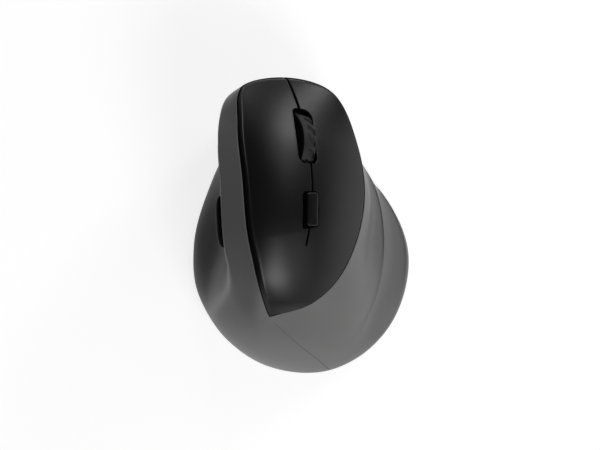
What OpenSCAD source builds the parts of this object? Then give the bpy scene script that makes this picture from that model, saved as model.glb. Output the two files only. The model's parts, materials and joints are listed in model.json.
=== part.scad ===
// Vertical ergonomic mouse for the right hand: a tilted leaf-shaped cover over two flanged shells.
// +Y is the front, +X the finger side, +Z up; the origin is under the middle of the body, on the desk.

/* [Body] */
// Length of the body, front lip to rear edge
body_l = 118; // [108:1:130]
// Width across both flanges
body_w = 87; // [80:1:96]
// Height from the shells' lower edge to the highest stations
body_h = 58; // [54:1:64]
// Wall of the two shells
wall_t = 2; // [1.6:0.1:2.4]
// Height of the flanges' outer edge
rim_h = 6; // [5.5:0.25:7]
// Height of the shells' lower edge over the desk
case_z = 0.9; // [0.7:0.1:1.2]

/* [Cover] */
// Thickness of the palm cover and of the two finger buttons
cover_t = 2; // [1.6:0.1:2.4]
// Crown of the cover across its width, one over the radius
crown = 0.034; // [0.028:0.001:0.040]
// Groove between the cover and the thumb strip
groove_w = 1; // [0.6:0.1:1.4]
// Gap between the cover and the finger-side wall
edge_gap = 0.4; // [0.3:0.05:0.7]
// Slit between the two finger buttons
slit_w = 0.8; // [0.5:0.1:1.2]
// Room under the finger buttons for their travel
press_room = 1.5; // [1.2:0.1:2]
// Place of the flexing line behind the finger buttons
flex_y = -9; // [-12:0.5:-6]
// Gap along the flexing line
flex_gap = 0.3; // [0.2:0.05:0.5]

/* [Wheel] */
// Diameter over the tyre
wheel_d = 26; // [25:0.5:27]
// Width of the tyre
tyre_w = 6.4; // [5.5:0.1:6.8]
// Thickness of the rubber tyre
tyre_t = 2.6; // [2:0.1:3.2]
// Height of the wheel over the cover
wheel_proud = 2.6; // [2.2:0.1:3]
// Place of the wheel along the slit
wheel_y = 35.6; // [34:0.1:38]
// Lean of the wheel's plane to the thumb side, in plan
wheel_lean = 7.5; // [5:0.5:10]
// Diameter of the wheel's axle
axle_d = 2.4; // [2:0.1:3]
// Radial running clearance of the axle and the pins
run_gap = 0.04; // [0.02:0.01:0.08]
// Clearance between the tyre and its slot
slot_gap = 0.6; // [0.5:0.1:0.9]

/* [Small buttons] */
// Length of the speed button between the finger buttons
dpi_l = 13; // [11:0.5:14]
// Width of the speed button
dpi_w = 6; // [5:0.5:7]
// Place of the speed button along the slit
dpi_y = 7.2; // [6:0.1:9]
// Height of the speed button over the cover
dpi_proud = 1; // [0.6:0.1:1.4]
// Lean of the speed button to the thumb side, in plan
dpi_lean = -0.5; // [-2:0.5:2]
// Clearance round the small buttons
button_gap = 0.4; // [0.3:0.05:0.6]
// Free travel of the small buttons
button_room = 0.65; // [0.5:0.05:0.8]
// Height of the back button over the thumb wall
back_proud = 2.8; // [2:0.1:3.4]
// Height of the forward button over the thumb wall
forward_proud = 1.4; // [1:0.1:2]
// Depth of the thumb buttons behind the wall's face
thumb_t = 2.6; // [2.4:0.1:3]

/* [Base] */
// Thickness of the base plate
base_t = 2; // [1.8:0.1:2.4]
// Thickness of the glide feet
foot_t = 1.2; // [1.1:0.1:1.6]
// Thickness of the circuit boards
board_t = 1.6; // [1.2:0.1:1.8]
// Diameter of the cell
cell_d = 14.2; // [13.8:0.1:14.5]
// Length of the cell with its button
cell_l = 50.2; // [49:0.1:50.5]
// Place of the cell's axis behind the middle
cell_y = -29; // [-30:0.5:-28]
// Diameter of the battery door's pins
hinge_d = 1.6; // [1.4:0.1:2]
// Diameter of the case screws
screw_d = 2.2; // [2:0.1:2.6]

/* [Hidden] */
$fn = 48;

SHELL_GREY = [0.30, 0.31, 0.31];
COVER_BLACK = [0.06, 0.06, 0.065];
BOARD_DARK = [0.05, 0.09, 0.07];
STEEL = [0.75, 0.76, 0.78];

// Stations go clockwise from the cover's rear tip: tip, rear, rear left, left flank, left rear, left middle,
// left front, front left corner, front, front right corner, right front, right middle, right rear,
// rear right, right tail. Each rail below has one point per station, drawn for a body of these sizes.
DRAWN = [87, 118, 58];
STATIONS = 15;
FRONT_LEFT = 7;
FRONT = 8;
FRONT_RIGHT = 9;
LEFT_REAR = 4;

// Edge of the leaf-shaped cover
LOOP = fitted([[-12.7, -34.8, 43], [-15, -27.5, 49], [-17.1, -19.9, 53.5], [-18.7, -12.5, 56],
               [-20.3, -5, 57.5], [-22.7, 19, 57.5], [-24.6, 39.7, 53], [-23.4, 54.2, 46], [-6.9, 59, 38],
               [11.8, 53.5, 33], [22.5, 32, 29], [25.2, 13.3, 28], [22, -5.2, 31], [13.5, -21.5, 36],
               [4.6, -29.3, 40]]);
// Shoulder under the cover, a crisp ridge along the thumb side
SHOULDER = fitted([[-6, -41.5, 36], [-18, -37, 42], [-25.5, -27, 45], [-28, -17.5, 49.5],
                   [-29.8, -8, 52.5], [-31.3, 16.5, 54], [-32, 40.9, 49], [-30.6, 48.5, 44],
                   [-7.1, 58, 30], [12.2, 53.8, 25.5], [21.7, 31.8, 22], [27.5, 13.5, 22], [25.5, -6, 24],
                   [19, -26.5, 29], [8, -36, 33]]);
// Middle of the walls, hollow under the ridge for the thumb
WALL = fitted([[0.5, -47.5, 27], [-19, -45.5, 31], [-31, -32, 33], [-29, -20, 33.5], [-27.5, -9, 34],
               [-28.3, 15, 34], [-29.3, 37, 32], [-26.5, 47.5, 27], [-7.1, 56.5, 20], [12, 52, 18],
               [21.9, 31.6, 16], [28, 14.2, 16], [29, -7, 17.5], [24, -33, 22], [13.5, -42, 25]]);
// Root of the flanges
CREASE = fitted([[7, -53, 16.5], [-19, -51.5, 19], [-35.5, -35.5, 19], [-33, -22.5, 17],
                 [-28.5, -10.5, 16], [-29, 14.5, 16], [-28.5, 36.5, 15], [-25.5, 46.5, 14],
                 [-7.1, 55, 12], [11.6, 51, 12], [21.2, 31.6, 11.5], [29, 15.4, 11.5], [32.7, -7, 11.5],
                 [28.6, -38.5, 14], [19, -47.5, 15.5]]);
// Outer edge of the flanges, in plan
RIM_PLAN = [[11.9, -57.9], [-15.8, -55.4], [-37.2, -36.4], [-42.7, -24.5], [-43.8, -7.4], [-36.2, 19.6],
            [-28.9, 35.3], [-23.8, 47.6], [-7, 55.5], [12.6, 51], [19.6, 26.5], [33.2, 13.8],
            [43.5, -8.9], [34.9, -41.6], [24.7, -51.7]];
RIM = [for (p = RIM_PLAN) [p.x * body_w / DRAWN.x, p.y * body_l / DRAWN.y, rim_h]];
// Share of each corner that is rounded away, station by station: 1 is a flowing curve
RIDGE_ROUND = [1, 1, 0.7, 0.35, 0.15, 0.12, 0.12, 0.3, 1, 1, 1, 1, 1, 1, 1];
CREASE_ROUND = [1, 1, 1, 1, 1, 1, 1, 1, 1, 1, 0.8, 0.45, 0.35, 0.8, 1];
RIM_ROUND = 0.5;
FOOT_IN = 0.5;

// Lists and vectors
function fitted(list) =
    [for (p = list) [p.x * body_w / DRAWN.x, p.y * body_l / DRAWN.y, p.z * body_h / DRAWN.z]];
function unit(v) = v / norm(v);
function mix(a, b, f) = a + (b - a) * f;
function clamp(x, low, high) = min(max(x, low), high);
function ease(low, high, x) = let(q = clamp((x - low) / (high - low), 0, 1)) q * q * (3 - 2 * q);
function turn(i) = (i % STATIONS + STATIONS) % STATIONS;
function steps(a, b, count) = [for (i = [0 : count - 1]) mix(a, b, i / count)];
function arc_mid(a, b, c) =
    let(h = norm(b - a), k = norm(c - b)) ((b - a) / h * k + (c - b) / k * h) / (h + k);
function curve(a, b, c, d, f) =
    let(h = norm(c - b), m = arc_mid(a, b, c) * h, k = arc_mid(b, c, d) * h)
    (2 * f^3 - 3 * f^2 + 1) * b + (f^3 - 2 * f^2 + f) * m + (3 * f^2 - 2 * f^3) * c + (f^3 - f^2) * k;
function rail(list, u) =
    let(i = floor(u)) curve(list[turn(i - 1)], list[turn(i)], list[turn(i + 1)], list[turn(i + 2)], u - i);
function blend_list(list, u) = let(i = floor(u)) mix(list[turn(i)], list[turn(i + 1)], ease(0, 1, u - i));

// The cover's edge is open at the tip, where its two sides meet in a corner
function loop(u) =
    let(i = clamp(floor(u), 0, STATIONS - 1), b = LOOP[i], c = LOOP[turn(i + 1)],
        a = i == 0 ? 2 * b - c : LOOP[i - 1],
        d = i == STATIONS - 1 ? 2 * c - b : LOOP[turn(i + 2)])
    curve(a, b, c, d, u - i);

// Skirt from the cover's edge down to the shells' lower edge: s runs from 0 to 5 over the rails
function rim_out(u) = let(d = rail(RIM, u + 0.02) - rail(RIM, u - 0.02)) unit([-d.y, d.x]);
function rim_at(u, inset, z) =
    let(p = rail(RIM, u), o = rim_out(u)) [p.x - o.x * inset, p.y - o.y * inset, z];
function guide(u, k) =
    k == 0 ? loop(u) : k == 1 ? rail(SHOULDER, u) : k == 2 ? rail(WALL, u) : k == 3 ? rail(CREASE, u)
    : k == 4 ? rail(RIM, u) : rim_at(u, FOOT_IN, case_z);
function rounding(u, k) =
    k == 1 ? blend_list(RIDGE_ROUND, u) : k == 3 ? blend_list(CREASE_ROUND, u) : k == 4 ? RIM_ROUND : 1;
function skirt(u, s) =
    let(k = round(s), f = s - k, here = guide(u, k))
    f == 0 && (k == 0 || k == 5) ? here
    : k == 0 ? mix(here, guide(u, 1), f)
    : k == 5 ? mix(here, guide(u, 4), -f)
    : let(h = rounding(u, k) / 2, a = guide(u, k - 1), b = guide(u, k + 1), q = (f / h + 1) / 2)
      abs(f) >= h ? mix(here, f < 0 ? a : b, abs(f))
      : mix(here, a, h) * (1 - q)^2 + here * 2 * q * (1 - q) + mix(here, b, h) * q^2;
function skirt_out(u, s) =
    let(e = 0.06, across_it = skirt(u + e, s) - skirt(u - e, s))
    unit(cross(across_it, skirt(u, min(s + e, 5)) - skirt(u, max(s - e, 0))));

// Cover: t runs from the tip to the front lip, f from the thumb side to the finger side
FRONT_BLEND = 0.6;
CROWN_FADE = 0.55;
function cover(t, f) =
    let(l = loop(FRONT_LEFT * t), r = loop(STATIONS - (STATIONS - FRONT_RIGHT) * t),
        lip = loop(mix(FRONT_LEFT, FRONT_RIGHT, f)) - mix(LOOP[FRONT_LEFT], LOOP[FRONT_RIGHT], f),
        width = norm([r.x - l.x, r.y - l.y]),
        fade = 1 - clamp((t - CROWN_FADE) / (1 - CROWN_FADE), 0, 1)^3.2)
    mix(l, r, f) + lip * ease(FRONT_BLEND, 1, t) + [0, 0, crown * width^2 / 8 * fade * 4 * f * (1 - f)];
function cover_out(t, f) =
    let(e = 0.01, a = clamp(t, e, 1 - e), b = clamp(f, e, 1 - e))
    unit(cross(cover(a, b + e) - cover(a, b - e), cover(a + e, b) - cover(a - e, b)));
function cover_width(t) = norm(cover(t, 1) - cover(t, 0));

// Slit between the finger buttons: an arc in plan, wider at the wheel and at the speed button
SLIT_X = 4.3;
SLIT_Y = 14.9;
SLIT_R = 96;
SLOT_R = [3, 2];
DPI_R = 1.3;
function slit_at(y) = SLIT_X - (y - SLIT_Y)^2 / (2 * SLIT_R);
function split(t, f = 0.55, tries = 6) =
    tries == 0 ? f
    : let(p = cover(t, f)) split(t, f + (slit_at(p.y) - p.x) / (cover(t, 1).x - cover(t, 0).x), tries - 1);
function along(y, low = 0, high = 1, tries = 18) =
    let(m = (low + high) / 2)
    tries == 0 ? m : cover(m, split(m)).y < y ? along(y, m, high, tries - 1) : along(y, low, m, tries - 1);
function half_slot(d, half_l, half_w, r) =
    abs(d) >= half_l ? 0 : abs(d) <= half_l - r ? half_w : half_w - r + sqrt(r^2 - (abs(d) - half_l + r)^2);
slit_edge = 0.6 * cover_t;
slot_depth = slit_edge + 1;
wheel_r = wheel_d / 2;
wheel_h = wheel_proud - wheel_r;
slot_half_l = sqrt(wheel_r^2 - (wheel_h + slot_depth)^2) + slot_gap;
slot_left = tyre_w / 2 + 2 * slot_gap;
slot_right = tyre_w / 2 + slot_gap;
dpi_half_l = dpi_l / 2 + 2 * button_gap;
dpi_left = dpi_w / 2 + 2 * button_gap;
dpi_right = dpi_w / 2 + button_gap;

// Local frames on the cover: origin on the slit, x across, y forward at a lean in plan, z out of the cover
function frame_at(y, lean) =
    let(t = along(y), f = split(t), n = cover_out(t, f), d = [-sin(lean), cos(lean)],
        r = unit([d.x, d.y, -(d.x * n.x + d.y * n.y) / n.z]))
    [cross(r, n), r, n, cover(t, f)];
function matrix(v) = [[v[0].x, v[1].x, v[2].x, v[3].x], [v[0].y, v[1].y, v[2].y, v[3].y],
                      [v[0].z, v[1].z, v[2].z, v[3].z], [0, 0, 0, 1]];
function out_of(v, p) = v[3] + v[0] * p.x + v[1] * p.y + v[2] * p.z;
function into(v, p) = let(d = p - v[3]) [d * v[0], d * v[1], d * v[2]];
WHEEL = frame_at(wheel_y, wheel_lean);
DPI = frame_at(dpi_y, dpi_lean);
module in_wheel() { multmatrix(matrix(WHEEL)) children(); }
module in_dpi() { multmatrix(matrix(DPI)) children(); }

// A closed slab between two grids of points, with an optional window [i0, i1, j0, j1] through it
module slab(outer, inner, window = [0, 0, 0, 0]) {
    m = len(outer);
    n = len(outer[0]);
    function id(side, i, j) = side * m * n + i * n + j;
    function quad(a, b, c, d) = [[a, b, c], [a, c, d]];
    function open(i, j) = i >= window[0] && i < window[1] && j >= window[2] && j < window[3];
    skins = [for (i = [0 : m - 2]) for (j = [0 : n - 2]) if (!open(i, j)) each concat(
        quad(id(0, i, j), id(0, i, j + 1), id(0, i + 1, j + 1), id(0, i + 1, j)),
        quad(id(1, i, j), id(1, i + 1, j), id(1, i + 1, j + 1), id(1, i, j + 1)))];
    function rim_i(i, j0, j1, flip) = [for (j = [j0 : 1 : j1 - 1]) each flip
        ? quad(id(0, i, j), id(0, i, j + 1), id(1, i, j + 1), id(1, i, j))
        : quad(id(0, i, j), id(1, i, j), id(1, i, j + 1), id(0, i, j + 1))];
    function rim_j(j, i0, i1, flip) = [for (i = [i0 : 1 : i1 - 1]) each flip
        ? quad(id(0, i, j), id(1, i, j), id(1, i + 1, j), id(0, i + 1, j))
        : quad(id(0, i, j), id(0, i + 1, j), id(1, i + 1, j), id(1, i, j))];
    sides = concat(rim_i(0, 0, n - 1, false), rim_i(m - 1, 0, n - 1, true),
                   rim_j(0, 0, m - 1, false), rim_j(n - 1, 0, m - 1, true));
    w = window;
    hole = w[1] == w[0] ? [] : concat(rim_i(w[0], w[2], w[3], true), rim_i(w[1], w[2], w[3], false),
                                      rim_j(w[2], w[0], w[1], true), rim_j(w[3], w[0], w[1], false));
    polyhedron([for (g = [outer, inner]) for (row = g) each row], concat(skins, sides, hole), 10);
}

// Shells: two halves of one skirt, with a ledge under the cover and a step round the base plate
SEAM = 0.01;
ROWS = [0, 0.5, 0.62, 0.75, 0.93, 1, 1.1, 1.3, 1.5, 1.75, 2, 2.35, 2.7, 3, 3.3, 3.6, 3.8, 4, 4.4, 5];
WALL_END = 3.6;
THUMB_LOW = 6;
THUMB_HIGH = 8;
LEDGE_W = 2;
LEDGE_TIP = 0.3;
LEDGE_T = 1.4;
SEAT = 0.1;
step_in = 2.2;
step_w = 1.4;
step_t = 1.6;
base_top = case_z + base_t;
step_z = base_top + SEAT;
flex_t = along(flex_y);
flex_left = FRONT_LEFT * flex_t;
flex_right = STATIONS - (STATIONS - FRONT_RIGHT) * flex_t;
// The cover's outward direction at its edge, shared by both shells at the tip
TIP_T = 0.08;
function edge_out(u) =
    u >= FRONT_LEFT && u <= FRONT_RIGHT ? cover_out(0.97, (u - FRONT_LEFT) / (FRONT_RIGHT - FRONT_LEFT))
    : let(left = u < FRONT_LEFT, t = left ? u / FRONT_LEFT : (STATIONS - u) / (STATIONS - FRONT_RIGHT),
          f = 0.5 * (1 - ease(0, 2 * TIP_T, t)))
      cover_out(clamp(t, TIP_T, 0.97), left ? f : 1 - f);
TIP_IN = unit(cover(TIP_T, 0.5) - LOOP[0]);
function edge_in(u) =
    let(d = loop(min(u + 0.05, STATIONS)) - loop(max(u - 0.05, 0)))
    unit(mix(TIP_IN, unit(cross(d, edge_out(u))), ease(0, 0.5, min(u, STATIONS - u))));
function ledge_w(u) = mix(LEDGE_TIP, LEDGE_W, ease(0, 0.9, min(u, STATIONS - u)));
function ledge_depth(u) =
    cover_t + SEAT
    + press_room * ease(flex_left, flex_left + 0.4, u) * (1 - ease(flex_right - 0.4, flex_right, u));
function shell_inner(u, k) =
    k == 0 ? loop(u) - edge_out(u) * ledge_depth(u)
    : k == 1 ? loop(u) - edge_out(u) * ledge_depth(u) + edge_in(u) * ledge_w(u)
    : k == 2 ? loop(u) - edge_out(u) * (ledge_depth(u) + LEDGE_T) + edge_in(u) * ledge_w(u)
    : ROWS[k] <= WALL_END ? skirt(u, ROWS[k]) - skirt_out(u, ROWS[k]) * wall_t
    : k == len(ROWS) - 4 ? rim_at(u, step_in + step_w, step_z + step_t)
    : k == len(ROWS) - 3 ? rim_at(u, step_in + step_w, step_z)
    : k == len(ROWS) - 2 ? rim_at(u, step_in, step_z)
    : rim_at(u, step_in, case_z);
module shell(columns, window = [0, 0, 0, 0])
    slab([for (u = columns) [for (s = ROWS) skirt(u, s)]],
         [for (u = columns) [for (k = [0 : len(ROWS) - 1]) shell_inner(u, k)]], window);

// Thumb buttons sit in one window of the left shell, just under the ridge
BACK_U = [4.03, 4.83];
FORWARD_U = [4.87, 5.66];
THUMB_S = [ROWS[THUMB_LOW], ROWS[THUMB_HIGH]];
thumb_margin = button_gap / norm(rail(WALL, LEFT_REAR) - rail(SHOULDER, LEFT_REAR));
thumb_window = [BACK_U[0] - thumb_margin, FORWARD_U[1] + thumb_margin];
left_columns = concat(steps(SEAM, thumb_window[0], 16), steps(thumb_window[0], thumb_window[1], 8),
                      steps(thumb_window[1], FRONT - SEAM, 11), [FRONT - SEAM]);
right_columns = concat(steps(FRONT + SEAM, STATIONS - SEAM, 32), [STATIONS - SEAM]);
module left_shell() color(SHELL_GREY) shell(left_columns, [16, 24, THUMB_LOW, THUMB_HIGH]);
module right_shell() color(SHELL_GREY) shell(right_columns);
// A pillow that follows the wall; it is pushed straight in along +X
PILLOW = [0, 0.06, 0.2, 0.5, 0.8, 0.94, 1];
PILLOW_EDGE = 0.3;
function pillow(q) = sqrt(max(1 - abs(2 * q - 1)^4, 0));
module thumb_button(us, proud) {
    ss = [THUMB_S[0] + thumb_margin, THUMB_S[1] - thumb_margin];
    slab([for (a = PILLOW) [for (b = PILLOW)
             skirt(mix(us[0], us[1], a), mix(ss[0], ss[1], b))
             - [mix(PILLOW_EDGE, 1, pillow(a) * pillow(b)) * proud, 0, 0]]],
         [for (a = PILLOW) [for (b = PILLOW)
             skirt(mix(us[0], us[1], a), mix(ss[0], ss[1], b)) + [thumb_t, 0, 0]]]);
}
module forward_button() color(COVER_BLACK) thumb_button(FORWARD_U, forward_proud);
module back_button() color(COVER_BLACK) thumb_button(BACK_U, back_proud);

// Cover: the palm piece behind the flexing line, and the two finger buttons in front of it
LIP_T = 0.987;
LIP_DRAFT = 0.009;
SIDE_DRAFT = 0.7;
CORNER_CUT = 1.1;
function corner(t) = CORNER_CUT * ease(0.95, LIP_T, t);
function edge_f(t) = (groove_w + corner(t)) / cover_width(t);
function far_f(t) = 1 - (edge_gap + corner(t)) / cover_width(t);
function draft(t) = min(SIDE_DRAFT / cover_width(t), 0.3 * (far_f(t) - edge_f(t)));
TIP_W = 0.5;
function along_tip(low = 0, high = 0.2, tries = 14) =
    let(m = (low + high) / 2, narrow = cover_width(m) < groove_w + edge_gap + TIP_W)
    tries == 0 ? high : narrow ? along_tip(m, high, tries - 1) : along_tip(low, m, tries - 1);
// Lower face: drawn in at the outer edges, square to the openings along the slit
function under(t, f) =
    let(a = min(t, LIP_T - LIP_DRAFT), b = clamp(f, edge_f(a) + draft(a), far_f(a) - draft(a)))
    cover(a, b) - cover_out(a, b) * cover_t;
function under_slit(t, f) =
    let(y = cover(t, split(t)).y)
    cover(t, f) - slit_edge * (near_slot(y) ? WHEEL[2] : near_dpi(y) ? DPI[2] : cover_out(t, split(t)));
function foot(p) = p + WHEEL[2] * (post_h - into(WHEEL, p).z);
module cover_slab(ts, ends, count, slit = -1, post = [-9, -9]) {
    fs = [for (t = ts) let(e = ends(t)) [for (j = [0 : count]) mix(e[0], e[1], j / count)]];
    function posted(i, j) = (i == post[0] || i == post[0] + 1) && (j == post[1] || j == post[1] + 1);
    function low(i, j) =
        posted(i, j) ? foot(cover(ts[i], fs[i][j]))
        : j == slit ? under_slit(ts[i], fs[i][j]) : under(ts[i], fs[i][j]);
    slab([for (i = [0 : len(ts) - 1]) [for (j = [0 : count]) low(i, j)]],
         [for (i = [0 : len(ts) - 1]) [for (f = fs[i]) cover(ts[i], f)]]);
}
flex_dt = flex_gap / 2 / norm(cover(flex_t + 0.01, 0.5) - cover(flex_t, 0.5)) * 0.01;
module palm_cover() color(COVER_BLACK) {
    tip = along_tip();
    ts = concat([tip, tip + 0.01, tip + 0.025], steps(tip + 0.05, flex_t - flex_dt, 16), [flex_t - flex_dt]);
    cover_slab(ts, function(t) [edge_f(t), far_f(t)], 14);
}
// Rows of a finger button: closer together at the ends of the two openings, and at the post over its switch
SLIT_END = flex_y + 2;
function slot_ends(r) = [-0.02, 0.02, 0.15 * r, 0.45 * r, r];
PRESS_ROWS = [1.5, 4.5];
function slot_start(y, half_l, r) = [for (d = slot_ends(r)) y - half_l + d];
function slot_end(y, half_l, r) =
    let(ds = slot_ends(r)) [for (k = [len(ds) - 1 : -1 : 0]) y + half_l - ds[k]];
rows_before = concat([SLIT_END, (SLIT_END + dpi_y - dpi_half_l) / 2], slot_start(dpi_y, dpi_half_l, DPI_R),
                     [dpi_y], slot_end(dpi_y, dpi_half_l, DPI_R),
                     [(dpi_y + dpi_half_l + wheel_y - slot_half_l) / 2],
                     slot_start(wheel_y, slot_half_l, SLOT_R[0]), [wheel_y - PRESS_ROWS[1]]);
rows_after = concat(slot_end(wheel_y, slot_half_l, SLOT_R[0]),
                    [for (k = [1 : 3]) wheel_y + slot_half_l + k * 3]);
button_rows = concat(rows_before, [for (d = PRESS_ROWS) wheel_y + d], rows_after);
button_ts = concat([flex_t + flex_dt], [for (y = button_rows) along(y)], [0.97, LIP_T]);
press_row = len(rows_before) + 1;
function near_slot(y) = abs(y - wheel_y) < slot_half_l + 0.1;
function near_dpi(y) = abs(y - dpi_y) < dpi_half_l + 0.1;
function beside(v, t, x, f, tries = 5) =
    tries == 0 ? f
    : let(w = into(v, cover(t, 1)).x - into(v, cover(t, 0)).x)
      beside(v, t, x, f + (x - into(v, cover(t, f)).x) / w, tries - 1);
function inner_f(t, side) =
    let(f = split(t), y = cover(t, f).y, left = side < 0,
        wheel = half_slot(y - wheel_y, slot_half_l, left ? slot_left : slot_right, SLOT_R[left ? 0 : 1]),
        dpi = half_slot(y - dpi_y, dpi_half_l, left ? dpi_left : dpi_right, DPI_R))
    wheel > 0 ? beside(WHEEL, t, side * wheel, f) : dpi > 0 ? beside(DPI, t, side * dpi, f)
    : f + side * slit_w / 2 / cover_width(t);
BUTTON_COLUMNS = 7;
LEFT_POST = 4;
RIGHT_POST = 2;
function left_ends(t) = [edge_f(t), inner_f(t, -1)];
function right_ends(t) = [inner_f(t, 1), far_f(t)];
module left_button() color(COVER_BLACK)
    cover_slab(button_ts, function(t) left_ends(t), BUTTON_COLUMNS, BUTTON_COLUMNS, [press_row, LEFT_POST]);
module right_button() color(COVER_BLACK)
    cover_slab(button_ts, function(t) right_ends(t), BUTTON_COLUMNS, 0, [press_row, RIGHT_POST]);
// Middle of each post in the wheel's frame: the finger switches stand under them
press_t = along(wheel_y + (PRESS_ROWS[0] + PRESS_ROWS[1]) / 2);
function press_spot(ends, column) =
    into(WHEEL, cover(press_t, mix(ends[0], ends[1], (column + 0.5) / BUTTON_COLUMNS)));
LEFT_PRESS = press_spot(left_ends(press_t), LEFT_POST);
RIGHT_PRESS = press_spot(right_ends(press_t), RIGHT_POST);

// Thumb switches on an upright side board behind the thumb buttons
function thumb_spot(us) = skirt((us[0] + us[1]) / 2, (THUMB_S[0] + THUMB_S[1]) / 2);
THUMB_TACT = [5, 5, 3.2];
THUMB_TIP = 1;
thumb_x = max(thumb_spot(BACK_U).x, thumb_spot(FORWARD_U).x);
side_x = thumb_x + thumb_t + button_room + THUMB_TACT.z + THUMB_TIP;
SIDE_MARGIN = [4.8, 5, 2.4];
thumb_zs = [thumb_spot(BACK_U).z, thumb_spot(FORWARD_U).z];
side_low = [thumb_spot(BACK_U).y - SIDE_MARGIN.x, min(thumb_zs) - SIDE_MARGIN.y];
side_high = [thumb_spot(FORWARD_U).y + SIDE_MARGIN.x, max(thumb_zs) + SIDE_MARGIN.z];
TACT = [5, 5, 1.5];
module tact(size, tip) {
    translate([-size.x / 2, -size.y / 2, 0]) cube(size);
    cylinder(d = size.x / 2, h = size.z + tip);
}
module side_board() color(BOARD_DARK) translate([side_x, side_low.x, side_low.y])
    cube([board_t, side_high.x - side_low.x, side_high.y - side_low.y]);
module thumb_switches() color("black") for (us = [BACK_U, FORWARD_U]) let(p = thumb_spot(us))
    translate([side_x, p.y, p.z]) rotate([0, -90, 0])
        tact(THUMB_TACT, side_x - p.x - thumb_t - button_room - THUMB_TACT.z);

// Upper deck: the inner frame, its board and the switches, all square to the cover at the wheel
BOARD_H = -16.5;
deck_t = 2;
deck_top = BOARD_H - board_t;
DECK_W = 31.6;
side_clear = 0.6;
deck_low = out_of(WHEEL, [0, 0, deck_top - deck_t]);
deck_side = deck_low + WHEEL[1] * ((side_high.x - deck_low.y) / WHEEL[1].y);
deck_w = min(DECK_W, 2 * (deck_side.x - side_x - board_t - side_clear) / WHEEL[0].x);
deck_front = 14.5;
deck_back = -36;
ear_front = 19.5;
SWITCH = [5.8, 12.8, 6.5];
switch_top = BOARD_H + SWITCH.z;
PLUNGER = [2.9, 1.3];
PLUNGER_PROUD = 0.95;
plunger_gap = 0.1;
post_h = switch_top + PLUNGER_PROUD + plunger_gap;
cheek_t = 1.2;
cheek_in = tyre_w / 2 + 0.8;
cheek_out = cheek_in + cheek_t;
PIVOT = [16, -12];
pin_d = 2;
barrel_r = 2.2;
ear_t = 2;
ear_gap = 0.3;
ear_out = cheek_out + ear_gap + ear_t;
wheel_room = 1;
cut_half_l = sqrt(wheel_r^2 - (wheel_h - BOARD_H)^2) + wheel_room;
cut_half_w = tyre_w / 2 + wheel_room;
LEG_IN = 3.8;
LEGS = [for (y = [10, -30]) for (side = [-1, 1]) [side * (deck_w / 2 - LEG_IN), y]];
leg_d = 5.5;
function leg_at(i) = let(p = out_of(WHEEL, [LEGS[i].x, LEGS[i].y, deck_top - deck_t / 2])) [p.x, p.y];
BLOCK = [8, 8.4];
STEM = 4;
STEM_L = 3;
dpi_floor = -8;
dpi_tact_h = 1.35;
dpi_flange = [1.6, 0.8];
block_drop = (BOARD_H - board_t / 2 - into(WHEEL, DPI[3]).z) / (DPI[2] * WHEEL[2]);
block_spot = into(WHEEL, out_of(DPI, [0, 0, block_drop]));
board_cut = [BLOCK.x + 1.6, BLOCK.y + 2.4];
board_w = deck_w - 3;
ARM = [5, 4];
ARM_IN = 1.2;
FAR = 90;
module across(d, w) rotate([0, 90, 0]) cylinder(d = d, h = w, center = true);
module above_deck(depth = 1) in_wheel()
    translate([-FAR, -FAR, deck_top - depth]) cube([2 * FAR, 2 * FAR, FAR]);
module deck_plan() difference() {
    union() {
        translate([-deck_w / 2, deck_back]) square([deck_w, deck_front - deck_back]);
        translate([-ear_out - 1, 0]) square([2 * (ear_out + 1), ear_front]);
    }
    square([2 * cut_half_w, 2 * cut_half_l], center = true);
}
function arm_root(y) =
    let(e = out_of(WHEEL, [-deck_w / 2, 0, deck_top - deck_t / 2])) e + WHEEL[1] * ((y - e.y) / WHEEL[1].y);
module inner_frame() color("dimgray") {
    in_wheel() difference() {
        union() {
            translate([0, 0, deck_top - deck_t]) linear_extrude(deck_t) deck_plan();
            for (side = [-1, 1]) translate([side * (ear_out - ear_t / 2), PIVOT[0], 0]) {
                translate([-ear_t / 2, -2.5, deck_top - 0.5]) cube([ear_t, 5, PIVOT[1] - deck_top + 0.5]);
                translate([0, 0, PIVOT[1]]) across(5, ear_t);
            }
        }
        translate([0, PIVOT[0], PIVOT[1]]) across(pin_d, FAR);
        for (p = BOARD_SCREWS) translate([p.x, p.y, deck_top - deck_t - 1])
            cylinder(d = board_screw_d, h = deck_t + 2);
    }
    difference() {
        for (i = [0 : 3]) translate([leg_at(i).x, leg_at(i).y, base_top]) cylinder(d = leg_d, h = FAR);
        above_deck(deck_t / 2);
        for (i = [0 : 3]) translate([leg_at(i).x, leg_at(i).y, 0])
            cylinder(d = screw_d, h = base_top + screw_reach);
    }
    intersection() {
        in_dpi() difference() {
            translate([-BLOCK.x / 2, -BLOCK.y / 2, dpi_floor - FAR]) cube([BLOCK.x, BLOCK.y, FAR + STEM_L]);
            translate([-BLOCK.x, -STEM / 2 - 0.2, dpi_floor]) cube([2 * BLOCK.x, STEM + 0.4, FAR]);
        }
        above_deck();
    }
    for (y = [thumb_spot(BACK_U).y, thumb_spot(FORWARD_U).y]) let(e = arm_root(y))
        translate([side_x + board_t, y - ARM.x / 2, e.z - ARM.y / 2])
            cube([e.x + ARM_IN - side_x - board_t, ARM.x, ARM.y]);
}
SCREW_IN = 3.3;
BOARD_SCREWS = [for (y = [-12, -26]) for (side = [-1, 1]) [side * (deck_w / 2 - SCREW_IN), y]];
board_screw_d = 1.6;
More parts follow.
